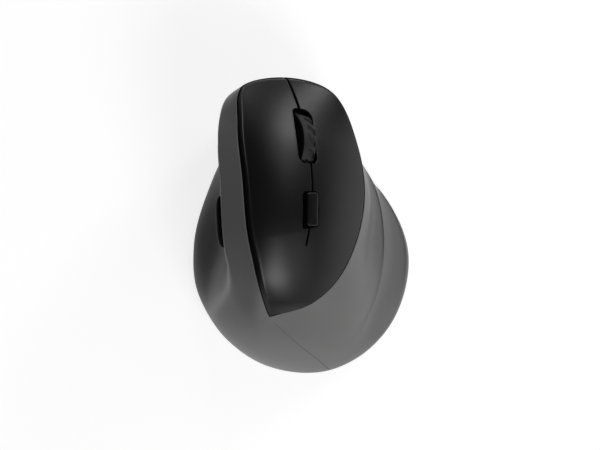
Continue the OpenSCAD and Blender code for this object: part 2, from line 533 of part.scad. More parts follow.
module upper_board() color(BOARD_DARK) in_wheel() translate([0, 0, BOARD_H - board_t])
    linear_extrude(board_t) difference() {
        translate([-board_w / 2, deck_back]) square([board_w, deck_front - deck_back]);
        square([2 * cut_half_w, 2 * cut_half_l], center = true);
        translate([-ear_out - ear_gap, PIVOT[0] - 3]) square([2 * (ear_out + ear_gap), deck_front]);
        translate([block_spot.x - board_cut.x / 2, block_spot.y - board_cut.y / 2]) square(board_cut);
        for (p = BOARD_SCREWS) translate(p) circle(d = board_screw_d);
    }

// Scroll wheel: a rubber tyre on a spoked hub, running on a steel axle in a sprung yoke
hub_w = tyre_w - 0.4;
hub_r = wheel_r - tyre_t;
TREADS = 30;
tread = [0.8, 0.5];
module at_axle() in_wheel() translate([0, 0, wheel_h]) children();
module wheel_tyre() color("black") at_axle() difference() {
    rotate([0, 90, 0]) rotate_extrude() translate([hub_r, 0]) intersection() {
        translate([0, -tyre_w / 2]) square([tyre_t, tyre_w]);
        translate([tyre_t - 14, 0]) circle(r = 14, $fn = 96);
    }
    for (i = [0 : TREADS - 1]) rotate([i * 360 / TREADS, 0, 0]) translate([0, 0, wheel_r]) rotate([0, 0, 25])
        cube([2 * tyre_w, tread.x, 2 * tread.y], center = true);
}
WINDOWS = 12;
WINDOW = [1.6, 2.6];
module wheel_hub() color("darkslategray") at_axle() difference() {
    across(2 * hub_r, hub_w);
    for (side = [-1, 1]) translate([side * (hub_w / 2 - 0.6), 0, 0]) difference() {
        across(2 * hub_r - 2.4, 2.4);
        across(axle_d + 4, 3);
    }
    for (i = [0 : WINDOWS - 1]) rotate([i * 360 / WINDOWS, 0, 0])
        translate([0, 0, (hub_r + axle_d / 2 + WINDOW.y) / 2])
            cube([2 * hub_w, WINDOW.x, WINDOW.y], center = true);
    across(axle_d, FAR);
}
module wheel_axle() color(STEEL) at_axle() across(axle_d, 2 * cheek_out + 0.8);
YOKE_BACK = -17;
YOKE_TOP = [3, 2.5];
YOKE_BAR = [3, -13.5, -10.5];
module wheel_yoke() color("gray") in_wheel() difference() {
    union() {
        for (side = [-1, 1]) translate([side * (cheek_in + cheek_t / 2), 0, 0]) rotate([90, 0, 90])
            linear_extrude(cheek_t, center = true) union() {
                polygon([[YOKE_BACK, YOKE_BAR[1]], [PIVOT[0], PIVOT[1] - barrel_r],
                         [PIVOT[0], PIVOT[1] + barrel_r], [YOKE_TOP.x, wheel_h + YOKE_TOP.y],
                         [-YOKE_TOP.x, wheel_h + YOKE_TOP.y], [YOKE_BACK, YOKE_BAR[2]]]);
                translate(PIVOT) circle(r = barrel_r);
            }
        translate([-cheek_out, YOKE_BACK, YOKE_BAR[1]])
            cube([2 * cheek_out, YOKE_BAR[0], YOKE_BAR[2] - YOKE_BAR[1]]);
        translate([0, PIVOT[0], PIVOT[1]]) across(2 * barrel_r, 2 * cheek_out);
    }
    translate([0, 0, wheel_h]) across(axle_d + 2 * run_gap, FAR);
    translate([0, PIVOT[0], PIVOT[1]]) across(pin_d + 2 * run_gap, FAR);
}
module yoke_pin() color(STEEL) in_wheel() translate([0, PIVOT[0], PIVOT[1]])
    across(pin_d, 2 * ear_out);

// Switches: body with a slot for its plunger
SWITCH_FRONT = 3.5;
SWITCH_HOLES = [6.5, 2.4, 1.9];
PLUNGER_IN = 1.4;
PLUNGER_FIT = 0.1;
module at_switch(spot) in_wheel() translate([spot.x, spot.y, BOARD_H]) children();
module finger_switch(spot) color([0.12, 0.12, 0.13]) at_switch(spot) difference() {
    translate([-SWITCH.x / 2, SWITCH_FRONT - SWITCH.y, 0]) cube(SWITCH);
    translate([0, 0, SWITCH.z - PLUNGER_IN - PLUNGER_PROUD - PLUNGER_FIT]) linear_extrude(SWITCH.z)
        square([PLUNGER.x + 2 * PLUNGER_FIT, PLUNGER.y + 2 * PLUNGER_FIT], center = true);
    for (end = [-0.5, 0.5])
        translate([0, SWITCH_FRONT - SWITCH.y / 2 + end * SWITCH_HOLES[0], SWITCH_HOLES[1]])
            across(SWITCH_HOLES[2], FAR);
}
module switch_plunger(spot) color("white") at_switch(spot)
    translate([0, 0, SWITCH.z - PLUNGER_IN]) linear_extrude(PLUNGER_IN + PLUNGER_PROUD)
        square(PLUNGER, center = true);
module left_switch() finger_switch(LEFT_PRESS);
module right_switch() finger_switch(RIGHT_PRESS);
module left_plunger() switch_plunger(LEFT_PRESS);
module right_plunger() switch_plunger(RIGHT_PRESS);
wheel_travel = 1;
module wheel_switch() color("black") in_wheel() translate([0, YOKE_BACK + YOKE_BAR[0] / 2, BOARD_H])
    tact(TACT, YOKE_BAR[1] - wheel_travel - BOARD_H - TACT.z);
DPI_TACT = [3.8, 3.8, 0.9];
module dpi_switch() color("black") in_dpi()
    translate([0, 0, dpi_floor]) tact(DPI_TACT, dpi_tact_h - DPI_TACT.z);
ENCODER = [1.6, 4.4, 6.8];
module encoder_part(side) in_wheel()
    translate([side * (cheek_out + 0.5 + ENCODER.x / 2) - ENCODER.x / 2, -5, BOARD_H]) difference() {
        cube(ENCODER);
        translate([side > 0 ? 0 : ENCODER.x, ENCODER.y / 2, ENCODER.z - 1.8]) across(2, 1.6);
    }
module encoder_emitter() color("slategray") encoder_part(-1);
module encoder_receiver() color("black") encoder_part(1);

// Speed button: a rounded cap with a flange under the cover and a stem between the block's posts
module rounded(w, l, r) {
    square([w - 2 * r, l], center = true);
    square([w, l - 2 * r], center = true);
    for (x = [-1, 1]) for (y = [-1, 1]) translate([x * (w / 2 - r), y * (l / 2 - r)]) circle(r = r);
}
dpi_under = cover_t + 0.7;
module dpi_button() color(COVER_BLACK) in_dpi() {
    translate([0, 0, -dpi_under]) linear_extrude(dpi_under + dpi_proud) rounded(dpi_w, dpi_l, DPI_R);
    translate([0, 0, -dpi_under - dpi_flange[1]]) linear_extrude(dpi_flange[1])
        rounded(dpi_w + dpi_flange[0], dpi_l + dpi_flange[0], DPI_R);
    translate([-STEM / 2, -STEM / 2, dpi_floor + dpi_tact_h + button_room])
        cube([STEM, STEM, -dpi_floor - dpi_tact_h - button_room - dpi_under]);
}

// Base plate: fills the shells' lower opening and carries the main board, the cell and the feet
base_fit = 0.2;
plate_in = step_in + base_fit;
plate_outline = [for (u = steps(0, STATIONS, 120)) let(p = rim_at(u, plate_in, 0)) [p.x, p.y]];
screw_reach = 7;
head_d = 4.4;
head_t = 1.2;
door_t = 1.6;
door_gap = 0.3;
door_room = 2.2;
cell_r = cell_d / 2;
cell_z = case_z + door_t + 0.4 + cell_r;
CELL_X = -1.2;
CONTACT_T = 0.4;
SPRING_L = 4;
bay_l = cell_l + SPRING_L + CONTACT_T + 0.1;
bay_w = cell_d + 0.8;
bay_wall = 1.6;
bay_h = cell_z - 1;
bay_x = bay_l / 2 + bay_wall;
bay_y = bay_w / 2 + bay_wall;
BAY_CUT = 2;
BAY_FRONT = 3.2;
bay_plan = [[-bay_x, bay_y + BAY_FRONT], [-bay_x, BAY_CUT - bay_y], [BAY_CUT - bay_x, -bay_y],
            [bay_x - BAY_CUT, -bay_y], [bay_x, BAY_CUT - bay_y], [bay_x, bay_y + BAY_FRONT]];
hinge_y = cell_y + bay_w / 2 + 1.6;
hinge_z = case_z + hinge_d / 2 + 0.6;
door_back = cell_y - bay_w / 2;
barrel = hinge_z - case_z;
PIN_L = 1.6;
MAIN = [[-24, -15], [13.2, 31]];
main_z = base_top + 3;
SENSOR = [-2, 16];
POWER = [-17, 24];
POWER_TRAVEL = 3;
FEET_DRAWN = [[-6, 45.5, 18, 7], [-35, -5, 7, 20], [36, -14, 7, 18], [3, -49, 24, 5]];
FEET = [for (f = FEET_DRAWN) [f.x * body_w / DRAWN.x, f.y * body_l / DRAWN.y, f[2], f[3]]];
STANDOFFS = [[-21, -12], [10.5, -12], [-21, 28.5], [10.5, 28.5]];
standoff_d = 4;
FOOT_FIT = 0.1;
module foot_plan(f, grow = 0) translate([f.x, f.y])
    rounded(f[2] + 2 * grow, f[3] + 2 * grow, min(f[2], f[3]) / 2 - 0.3);
module base_plate() color([0.2, 0.2, 0.21]) difference() {
    union() {
        translate([0, 0, case_z]) linear_extrude(base_t) polygon(plate_outline);
        for (p = STANDOFFS) translate([p.x, p.y, case_z]) cylinder(d = standoff_d, h = main_z - case_z);
        translate([CELL_X, cell_y, case_z]) linear_extrude(bay_h - case_z) polygon(bay_plan);
    }
    translate([CELL_X - bay_l / 2, cell_y - bay_w / 2, 0]) cube([bay_l, bay_w, FAR]);
    translate([CELL_X - bay_l / 2 + door_gap, door_back, 0])
        cube([bay_l - 2 * door_gap, hinge_y + barrel - door_back + door_gap, case_z + door_t + door_room]);
    translate([CELL_X - bay_l / 2 - bay_wall - 1, cell_y + bay_w / 2 + bay_wall, hinge_z + 2.4])
        cube([bay_l + 2 * bay_wall + 2, 4, FAR]);
    translate([CELL_X, hinge_y, hinge_z]) across(hinge_d + 2 * run_gap, bay_l + 2 * bay_wall - 0.8);
    for (i = [0 : 3]) translate([leg_at(i).x, leg_at(i).y, 0]) {
        cylinder(d = screw_d, h = FAR);
        cylinder(d = head_d + 0.4, h = case_z + head_t);
    }
    for (p = STANDOFFS) translate([p.x, p.y, base_top]) cylinder(d = board_screw_d, h = FAR);
    translate([SENSOR.x, SENSOR.y, 0]) linear_extrude(FAR) rounded(LENS_VIEW[0], LENS_VIEW[1], LENS_VIEW[2]);
    translate([POWER.x + POWER_TRAVEL / 2, POWER.y, 0]) linear_extrude(FAR)
        rounded(slider.x + POWER_TRAVEL + 2 * base_fit, slider.y + 2 * base_fit, 0.6);
    for (f = FEET) linear_extrude(foot_t) foot_plan(f, FOOT_FIT);
}
module glide_feet() color("whitesmoke") for (f = FEET) linear_extrude(foot_t) foot_plan(f);
module case_screws() color(STEEL) for (i = [0 : 3]) translate([leg_at(i).x, leg_at(i).y, case_z + 0.1]) {
    cylinder(d = head_d, h = head_t - 0.1);
    cylinder(d = screw_d, h = base_top + screw_reach - case_z - 1);
}

// Main board with the sensor, its lens, the controller and the power switch
module main_board() color(BOARD_DARK) translate([0, 0, main_z]) linear_extrude(board_t) difference() {
    translate(MAIN[0]) square(MAIN[1] - MAIN[0]);
    for (i = [0 : 3]) translate(leg_at(i)) circle(d = leg_d + 1);
    for (p = STANDOFFS) translate(p) circle(d = board_screw_d);
    translate(SENSOR) square([5, 4], center = true);
}
CONTROLLER = [7, 7, 1];
CONTROLLER_SPOT = [4, -8];
SENSOR_CHIP = [10, 12, 2.4];
SENSOR_EYE = 1.6;
LENS = [12, 10, 1];
LENS_VIEW = [9, 7, 2];
LENS_D = 5;
LENS_DROP = 1.2;
module controller_chip() color([0.08, 0.08, 0.09])
    translate([CONTROLLER_SPOT.x, CONTROLLER_SPOT.y, main_z + board_t]) linear_extrude(CONTROLLER.z)
        square([CONTROLLER.x, CONTROLLER.y], center = true);
module sensor_chip() color([0.1, 0.1, 0.1]) translate([SENSOR.x, SENSOR.y, main_z + board_t]) difference() {
    linear_extrude(SENSOR_CHIP.z) square([SENSOR_CHIP.x, SENSOR_CHIP.y], center = true);
    translate([0, 0, -SENSOR_EYE / 2]) cylinder(d = SENSOR_EYE, h = SENSOR_EYE);
}
module sensor_lens() color([0.8, 0.85, 0.9, 0.5]) translate([SENSOR.x, SENSOR.y, 0]) {
    translate([0, 0, base_top]) linear_extrude(LENS.z) square([LENS.x, LENS.y], center = true);
    translate([0, 0, base_top - LENS_DROP]) cylinder(d = LENS_D, h = main_z - base_top + LENS_DROP - SEAT);
}
slider = [3, 2.4];
POWER_CASE = [9, 4.2];
module power_switch() color("silver") translate([POWER.x + POWER_TRAVEL / 2, POWER.y, base_top + SEAT])
    linear_extrude(main_z - base_top - SEAT) square(POWER_CASE, center = true);
module power_slider() color("black") translate([POWER.x, POWER.y, case_z + 0.2]) difference() {
    linear_extrude(base_t - 0.2) rounded(slider.x, slider.y, 0.5);
    for (k = [-1 : 1]) translate([k * 0.8, 0, 0]) cube([0.3, FAR, 0.5], center = true);
}
// Round tube along a path of points
function side_of(path, k) = let(v = unit(path[min(k + 1, len(path) - 1)] - path[max(k - 1, 0)]),
    w = unit(cross(v, abs(v.z) < 0.9 ? [0, 0, 1] : [0, 1, 0]))) [w, cross(v, w)];
module tube(path, r, sides) {
    last = len(path) - 1;
    points = [for (k = [0 : last]) let(w = side_of(path, k)) each
        [for (j = [0 : sides - 1]) let(a = j * 360 / sides) path[k] + r * (w[0] * cos(a) + w[1] * sin(a))]];
    walls = [for (k = [0 : last - 1]) for (j = [0 : sides - 1])
        each let(a = k * sides + j, b = k * sides + (j + 1) % sides)
            [[a, b + sides, b], [a, a + sides, b + sides]]];
    ends = [[for (j = [0 : sides - 1]) j], [for (j = [sides - 1 : -1 : 0]) last * sides + j]];
    polyhedron(points, concat(ends, walls), 10);
}
// Cable from the upper board's rear edge down to the main board
cable_d = 1.5;
CABLE_SPOT = [6, -0.2];
CABLE_FOOT = [-6, -10];
CABLE_BEND = [7, 12];
CABLE_STEPS = 14;
module flex_cable() color("gray") {
    a = out_of(WHEEL, [CABLE_SPOT.x, deck_back + CABLE_SPOT.y, BOARD_H - board_t / 2]);
    d = [CABLE_FOOT.x, CABLE_FOOT.y, main_z + board_t + SEAT];
    b = a - WHEEL[1] * CABLE_BEND.x;
    c = d + [0, 0, CABLE_BEND.y];
    path = [for (k = [0 : CABLE_STEPS]) let(q = k / CABLE_STEPS)
        a * (1 - q)^3 + b * 3 * q * (1 - q)^2 + c * 3 * q^2 * (1 - q) + d * q^3];
    tube(path, cable_d / 2, 8);
}

// Cell, its contacts and the hinged door under it
cell_low = CELL_X - bay_l / 2 + CONTACT_T;
CELL_BUTTON = [5.2, 1];
CONTACT_W = 10;
module battery() color("goldenrod") translate([cell_low, cell_y, cell_z]) rotate([0, 90, 0]) {
    cylinder(d = CELL_BUTTON.x, h = CELL_BUTTON.y);
    translate([0, 0, CELL_BUTTON.y]) cylinder(d = cell_d, h = cell_l - CELL_BUTTON.y);
}
module contact_plate() color(STEEL)
    translate([CELL_X - bay_l / 2, cell_y - CONTACT_W / 2, cell_z - CONTACT_W / 2])
        cube([CONTACT_T, CONTACT_W, CONTACT_W]);
SPRING_TURNS = 4;
SPRING_R = [2.2, 4.6];
spring_wire = 0.6;
module contact_spring() color(STEEL) translate([cell_low + cell_l + 0.3, cell_y, cell_z]) rotate([0, 90, 0])
    tube([for (k = [0 : 12 * SPRING_TURNS])
              let(q = k / 12 / SPRING_TURNS, a = 30 * k, r = mix(SPRING_R[0], SPRING_R[1], q))
              [r * cos(a), r * sin(a), mix(spring_wire / 2, SPRING_L - 0.3 - spring_wire / 2, q)]],
         spring_wire / 2, 6);
GRIPS = 5;
GRIP = [14, 1.2, 0.5];
module battery_door() color([0.2, 0.2, 0.21]) {
    w = bay_l - 4 * door_gap;
    difference() {
        translate([CELL_X - w / 2, door_back + door_gap, case_z])
            cube([w, hinge_y - door_back - door_gap, door_t]);
        for (k = [0 : GRIPS - 1]) translate([CELL_X, door_back + 1.6 + k * GRIP.y, case_z])
            cube([GRIP.x, GRIP.z, GRIP.z], center = true);
    }
    translate([CELL_X, hinge_y, hinge_z]) across(2 * barrel, w);
    translate([CELL_X, hinge_y, hinge_z]) across(hinge_d, w + 2 * PIN_L);
}
BOARD_HEAD = [3.2, 1.2];
module board_screw(reach) {
    cylinder(d = BOARD_HEAD.x, h = BOARD_HEAD.y);
    translate([0, 0, -board_t - reach]) cylinder(d = board_screw_d, h = board_t + reach + BOARD_HEAD.y / 2);
}
module board_screws() color(STEEL) {
    for (p = STANDOFFS) translate([p.x, p.y, main_z + board_t]) board_screw(2);
    in_wheel() for (p = BOARD_SCREWS) translate([p.x, p.y, BOARD_H]) board_screw(1.5);
}

left_shell();
right_shell();
base_plate();
glide_feet();
palm_cover();
left_button();
right_button();
dpi_button();
forward_button();
back_button();
wheel_tyre();
wheel_hub();
wheel_axle();
wheel_yoke();
yoke_pin();
inner_frame();
upper_board();
left_switch();
left_plunger();
right_switch();
right_plunger();
wheel_switch();
dpi_switch();
encoder_emitter();
encoder_receiver();
side_board();
thumb_switches();
main_board();
controller_chip();
sensor_chip();
sensor_lens();
power_switch();
power_slider();
flex_cable();
battery();
contact_spring();
contact_plate();
battery_door();
case_screws();
board_screws();
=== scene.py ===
"""Looks of a vertical ergonomic mouse: moulded grey shells, a satin black cover, wheel and small buttons.

Lengths are in millimetres until a mesh is made. +Y is the front, +X the finger side, +Z up.
"""
import json
import math

import bmesh
import bpy
import numpy as np
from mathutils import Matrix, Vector


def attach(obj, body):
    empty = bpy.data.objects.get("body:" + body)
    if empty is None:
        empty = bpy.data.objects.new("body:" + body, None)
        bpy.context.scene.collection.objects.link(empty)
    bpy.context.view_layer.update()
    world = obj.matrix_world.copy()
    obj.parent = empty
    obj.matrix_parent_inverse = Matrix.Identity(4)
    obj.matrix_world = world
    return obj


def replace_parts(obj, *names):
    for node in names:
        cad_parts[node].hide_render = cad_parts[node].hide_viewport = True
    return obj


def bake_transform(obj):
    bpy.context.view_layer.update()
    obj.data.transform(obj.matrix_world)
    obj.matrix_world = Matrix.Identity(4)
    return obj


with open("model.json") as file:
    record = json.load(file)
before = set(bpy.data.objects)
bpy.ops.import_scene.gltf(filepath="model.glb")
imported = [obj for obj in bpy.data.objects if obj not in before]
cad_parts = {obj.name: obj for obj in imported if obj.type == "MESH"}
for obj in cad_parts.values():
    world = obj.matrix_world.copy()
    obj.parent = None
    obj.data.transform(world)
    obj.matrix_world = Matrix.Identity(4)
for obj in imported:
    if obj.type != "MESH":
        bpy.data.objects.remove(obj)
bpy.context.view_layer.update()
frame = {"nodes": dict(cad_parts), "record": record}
MM = 0.001

# Rails of the moulded form, one point per station, clockwise from the cover's rear tip.
# They are the CAD's, except on the finger side: there stations 11 to 13 of WALL and CREASE,
# with the gutter and the sag below, form a terrace that the CAD doesn't have.
STATIONS, FRONT_LEFT, FRONT, FRONT_RIGHT = 15, 7, 8, 9
LOOP = np.array([
    [-12.7, -34.8, 43], [-15, -27.5, 49], [-17.1, -19.9, 53.5], [-18.7, -12.5, 56],
    [-20.3, -5, 57.5], [-22.7, 19, 57.5], [-24.6, 39.7, 53], [-23.4, 54.2, 46], [-6.9, 59, 38],
    [11.8, 53.5, 33], [22.5, 32, 29], [25.2, 13.3, 28], [22, -5.2, 31], [13.5, -21.5, 36],
    [4.6, -29.3, 40]])
SHOULDER = np.array([
    [-6, -41.5, 36], [-18, -37, 42], [-25.5, -27, 45], [-28, -17.5, 49.5], [-29.8, -8, 52.5],
    [-31.3, 16.5, 54], [-32, 40.9, 49], [-30.6, 48.5, 44], [-7.1, 58, 30], [12.2, 53.8, 25.5],
    [21.7, 31.8, 22], [27.5, 13.5, 22], [25.5, -6, 24], [19, -26.5, 29], [8, -36, 33]])
WALL = np.array([
    [0.5, -47.5, 27], [-19, -45.5, 31], [-31, -32, 33], [-29, -20, 33.5], [-27.5, -9, 34],
    [-28.3, 15, 34], [-29.3, 37, 32], [-26.5, 47.5, 27], [-7.1, 56.5, 20], [12, 52, 18],
    [21.9, 31.6, 16], [27.6, 14.2, 15.5], [27.8, -5, 15.8], [24, -31, 21], [13.5, -42, 25]])
CREASE = np.array([
    [7, -53, 16.5], [-19, -51.5, 19], [-35.5, -35.5, 19], [-33, -22.5, 17], [-28.5, -10.5, 16],
    [-29, 14.5, 16], [-28.5, 36.5, 15], [-25.5, 46.5, 14], [-7.1, 55, 12], [11.6, 51, 12],
    [21.2, 31.6, 11.5], [30, 15.6, 13], [33.2, -3, 13.5], [27.6, -33, 14.5], [19, -47.5, 15.5]])
RIM = np.array([
    [11.9, -57.9, 6], [-15.8, -55.4, 6], [-37.2, -36.4, 6], [-42.7, -24.5, 6], [-43.8, -7.4, 6],
    [-36.2, 19.6, 6], [-28.9, 35.3, 6], [-23.8, 47.6, 6], [-7, 55.5, 6], [12.6, 51, 6],
    [19.6, 26.5, 6], [33.2, 13.8, 6], [43.5, -8.9, 6], [34.9, -41.6, 6], [24.7, -51.7, 6]])
# Share of the ridge and of the terrace edge that is rounded away, station by station: 1 is a flowing curve
RIDGE_ROUND = np.array([1, 1, 0.7, 0.35, 0.2, 0.18, 0.18, 0.4, 1, 1, 1, 1, 1, 1, 1])
CREASE_ROUND = np.array([1, 1, 1, 1, 1, 1, 1, 1, 1, 1, 0.6, 0.1, 0.06, 0.6, 1])
# Station by station: hollow of the flange as a share of its fall, and strength of the gutter above the edge
FLANGE_SAG = np.array([0, 0, 0, 0, 0, 0, 0, 0, 0, 0, 0.5, 1, 1, 0.3, 0])
GUTTER = np.array([0, 0, 0, 0, 0, 0, 0, 0, 0, 0, 3, 7, 7, 1.5, 0])
RIM_ROUND, FOOT_IN, CASE_Z = 0.8, 0.5, 0.9

# Sizes of the pieces
WALL_T, COVER_T, CROWN = 2.0, 2.0, 0.034
PRESS_ROOM, SEAT = 1.5, 0.1
LEDGE_W, LEDGE_TIP, LEDGE_T = 2.0, 0.3, 1.4
STEP_IN, STEP_W, STEP_Z, STEP_T = 2.2, 1.4, 3.0, 1.6
GROOVE_W, EDGE_GAP, SLIT_W = 1.0, 0.4, 0.6
FLEX_Y, SLIT_END_Y, LIP_T = -9.0, -7.0, 0.995
WHEEL_Y, WHEEL_LEAN, WHEEL_R, WHEEL_PROUD, TYRE_W = 35.6, 7.5, 13.0, 2.6, 6.4
DPI_Y, DPI_LEAN, DPI_L, DPI_W, DPI_PROUD = 7.2, -0.5, 13.0, 5.6, 0.7
THUMB_S = (1.1, 1.5)
BACK_U, FORWARD_U = (4.03, 4.83), (4.87, 5.66)
BACK_PROUD, FORWARD_PROUD, THUMB_T, BUTTON_GAP = 2.8, 0.6, 2.6, 0.4
THUMB_MARGIN = BUTTON_GAP / np.linalg.norm(WALL[4] - SHOULDER[4])
# Bow of the slit in plan: furthest to the finger side at SLIT_BEND_Y, with this radius there
SLIT_X, SLIT_BEND_Y, SLIT_R = 4.3, 14.9, 96.0
# Parts of the cover's length where its crown fades out and the rolled front lip fades in
CROWN_FADE_T, CROWN_FADE_POWER, LIP_FADE_T = 0.55, 3.2, 0.6


def unit(v):
    return v / np.linalg.norm(v, axis=-1, keepdims=True)


def mix(a, b, f):
    return a + (b - a) * f


def ease(low, high, x):
    q = np.clip((x - low) / (high - low), 0, 1)
    return q * q * (3 - 2 * q)


def arc_mid(a, b, c):
    """Direction at b of the circle through three points."""
    h = np.linalg.norm(b - a, axis=-1, keepdims=True)
    k = np.linalg.norm(c - b, axis=-1, keepdims=True)
    return ((b - a) / h * k + (c - b) / k * h) / (h + k)


def curve(a, b, c, d, f):
    h = np.linalg.norm(c - b, axis=-1, keepdims=True)
    f = f[..., None]
    return ((2 * f**3 - 3 * f**2 + 1) * b + (f**3 - 2 * f**2 + f) * arc_mid(a, b, c) * h
            + (3 * f**2 - 2 * f**3) * c + (f**3 - f**2) * arc_mid(b, c, d) * h)


def rail(points, u):
    i = np.floor(u).astype(int)
    return curve(*(points[(i + k) % STATIONS] for k in (-1, 0, 1, 2)), u - i)


def between(values, u):
    i = np.floor(u).astype(int)
    return mix(values[i % STATIONS], values[(i + 1) % STATIONS], ease(0, 1, u - i))


def loop(u):
    """The cover's edge, open at the tip where its two sides meet in a corner."""
    i = np.clip(np.floor(u).astype(int), 0, STATIONS - 1)
    b, c = LOOP[i], LOOP[(i + 1) % STATIONS]
    a = np.where((i == 0)[..., None], 2 * b - c, LOOP[i - 1])
    d = np.where((i == STATIONS - 1)[..., None], 2 * c - b, LOOP[(i + 2) % STATIONS])
    return curve(a, b, c, d, u - i)


# Skirt of the shells: u round the body, s from 0 at the cover's edge to 5 at the lower edge
def rim_at(u, inset, z):
    d = rail(RIM, u + 0.02) - rail(RIM, u - 0.02)
    out = unit(np.stack([-d[..., 1], d[..., 0]], -1))
    p = rail(RIM, u)[..., :2] - out * inset
    return np.concatenate([p, np.full(p.shape[:-1] + (1,), z)], -1)


def guide(u, k):
    if k == 0:
        return loop(u)
    if k == 5:
        return rim_at(u, FOOT_IN, CASE_Z)
    return rail((SHOULDER, WALL, CREASE, RIM)[k - 1], u)


def skirt(u, s):
    """Points of the skirt at all u for one s."""
    k = math.floor(s + 0.5)
    f = s - k
    here = guide(u, k)
    if k == 0 or k == 5:
        return mix(here, guide(u, 1 if k == 0 else 4), abs(f))
    share = between(RIDGE_ROUND, u) if k == 1 else between(CREASE_ROUND, u) if k == 3 else \
        np.full_like(u, RIM_ROUND if k == 4 else 1.0)
    h = (share / 2)[..., None]
    a, b = guide(u, k - 1), guide(u, k + 1)
    q = np.clip((f / h + 1) / 2, 0, 1)
    bent = mix(here, a, h) * (1 - q)**2 + here * 2 * q * (1 - q) + mix(here, b, h) * q**2
    p = np.where(abs(f) >= h, mix(here, a if f < 0 else b, abs(f)), bent)
    if 2 < s < 3:
        p[..., 2] -= between(GUTTER, u) * (3 - s) * (s - 2)**3
    if 3 < s < 4:
        sag = 4 - s - (4 - s)**3
        p[..., 2] -= between(FLANGE_SAG, u) * sag * (guide(u, 3) - guide(u, 4))[..., 2]
    return p


def skirt_out(u, s, e=0.06):
    along_u = skirt(np.minimum(u + e, STATIONS), s) - skirt(np.maximum(u - e, 0), s)
    return unit(np.cross(along_u, skirt(u, min(s + e, 5)) - skirt(u, max(s - e, 0))))


# Cover: t from the tip to the front lip, f from the thumb side to the finger side
def cover(t, f):
    t, f = np.broadcast_arrays(np.asarray(t, float), np.asarray(f, float))
    left, right = loop(FRONT_LEFT * t), loop(STATIONS - (STATIONS - FRONT_RIGHT) * t)
    lip = loop(mix(FRONT_LEFT, FRONT_RIGHT, f)) - mix(LOOP[FRONT_LEFT], LOOP[FRONT_RIGHT], f[..., None])
    width2 = ((right - left)[..., :2]**2).sum(-1)
    fade = 1 - np.clip((t - CROWN_FADE_T) / (1 - CROWN_FADE_T), 0, 1)**CROWN_FADE_POWER
    p = mix(left, right, f[..., None]) + lip * ease(LIP_FADE_T, 1, t)[..., None]
    p[..., 2] += CROWN * width2 / 8 * fade * 4 * f * (1 - f)
    return p


def cover_out(t, f, e=0.01):
    t, f = np.clip(t, e, 1 - e), np.clip(f, e, 1 - e)
    return unit(np.cross(cover(t, f + e) - cover(t, f - e), cover(t + e, f) - cover(t - e, f)))


def cover_width(t):
    return np.linalg.norm(cover(t, 1.0) - cover(t, 0.0), axis=-1)


def split(t):
    """Place of the slit across the cover."""
    f = np.full(np.shape(t), 0.55)
    w = cover(t, 1.0)[..., 0] - cover(t, 0.0)[..., 0]
    for _ in range(6):
        p = cover(t, f)
        f = f + (SLIT_X - (p[..., 1] - SLIT_BEND_Y)**2 / (2 * SLIT_R) - p[..., 0]) / w
    return f


def along(y):
    """Place along the cover where the slit passes y."""
    y = np.asarray(y, float)
    low, high = np.zeros_like(y), np.ones_like(y)
    for _ in range(24):
        middle = (low + high) / 2
        less = cover(middle, split(middle))[..., 1] < y
        low, high = np.where(less, middle, low), np.where(less, high, middle)
    return (low + high) / 2


def frame_at(y, lean):
    """Local axes on the slit: across, forward at a lean in plan, out of the cover; then the origin."""
    t = along(y)
    f = split(t)
    n = cover_out(t, f)
    d = np.array([-math.sin(math.radians(lean)), math.cos(math.radians(lean))])
    r = unit(np.array([d[0], d[1], -(d @ n[:2]) / n[2]]))
    return np.array([np.cross(r, n), r, n, cover(t, f)])


def into(axes, p):
    return (p - axes[3]) @ axes[:3].T


def out_of(axes, p):
    return axes[3] + np.asarray(p, float) @ axes[:3]


WHEEL = frame_at(WHEEL_Y, WHEEL_LEAN)
DPI = frame_at(DPI_Y, DPI_LEAN)


# Meshes
def new_mesh(name, points, faces, materials, picks=None, sharp=35):
    mesh = bpy.data.meshes.new(name)
    mesh.from_pydata((np.asarray(points) * MM).tolist(), [], [list(map(int, f)) for f in faces])
    for m in materials:
        mesh.materials.append(m)
    if picks is not None:
        mesh.polygons.foreach_set("material_index", np.asarray(picks, np.int32))
    mesh.polygons.foreach_set("use_smooth", np.ones(len(mesh.polygons), bool))
    shape = bmesh.new()
    shape.from_mesh(mesh)
    bmesh.ops.recalc_face_normals(shape, faces=shape.faces)
    shape.to_mesh(mesh)
    shape.free()
    mesh.set_sharp_from_angle(angle=math.radians(sharp))
    obj = bpy.data.objects.new(name, mesh)
    bpy.context.scene.collection.objects.link(obj)
    return obj


def quads(ids, wrap=False):
    """Quads over a grid of vertex numbers; wrap joins the last row to the first."""
    if wrap:
        ids = np.concatenate([ids, ids[:1]])
    return np.stack([ids[:-1, :-1], ids[1:, :-1], ids[1:, 1:], ids[:-1, 1:]], -1).reshape(-1, 4)


def slab(outer, inner, window=None):
    """Closed slab between two grids of points, with an optional window [i0, i1, j0, j1] through it.
    Returns points, faces, and the number of faces in the outer skin, which come first."""
    m, n = outer.shape[:2]
    top = np.arange(m * n).reshape(m, n)
    low = top + m * n
    keep = np.ones((m - 1, n - 1), bool)
    rims = [(top[0], low[0]), (top[-1], low[-1]), (top[:, 0], low[:, 0]), (top[:, -1], low[:, -1])]
    if window:
        i0, i1, j0, j1 = window
        keep[i0:i1, j0:j1] = False
        rims += [(top[i, j0:j1 + 1], low[i, j0:j1 + 1]) for i in (i0, i1)]
        rims += [(top[i0:i1 + 1, j], low[i0:i1 + 1, j]) for j in (j0, j1)]
    skins = [quads(g)[keep.ravel()] for g in (top, low)]
    sides = [quads(np.stack(pair)) for pair in rims]
    points = np.concatenate([outer.reshape(-1, 3), inner.reshape(-1, 3)])
    return points, np.concatenate(skins + sides), len(skins[0])


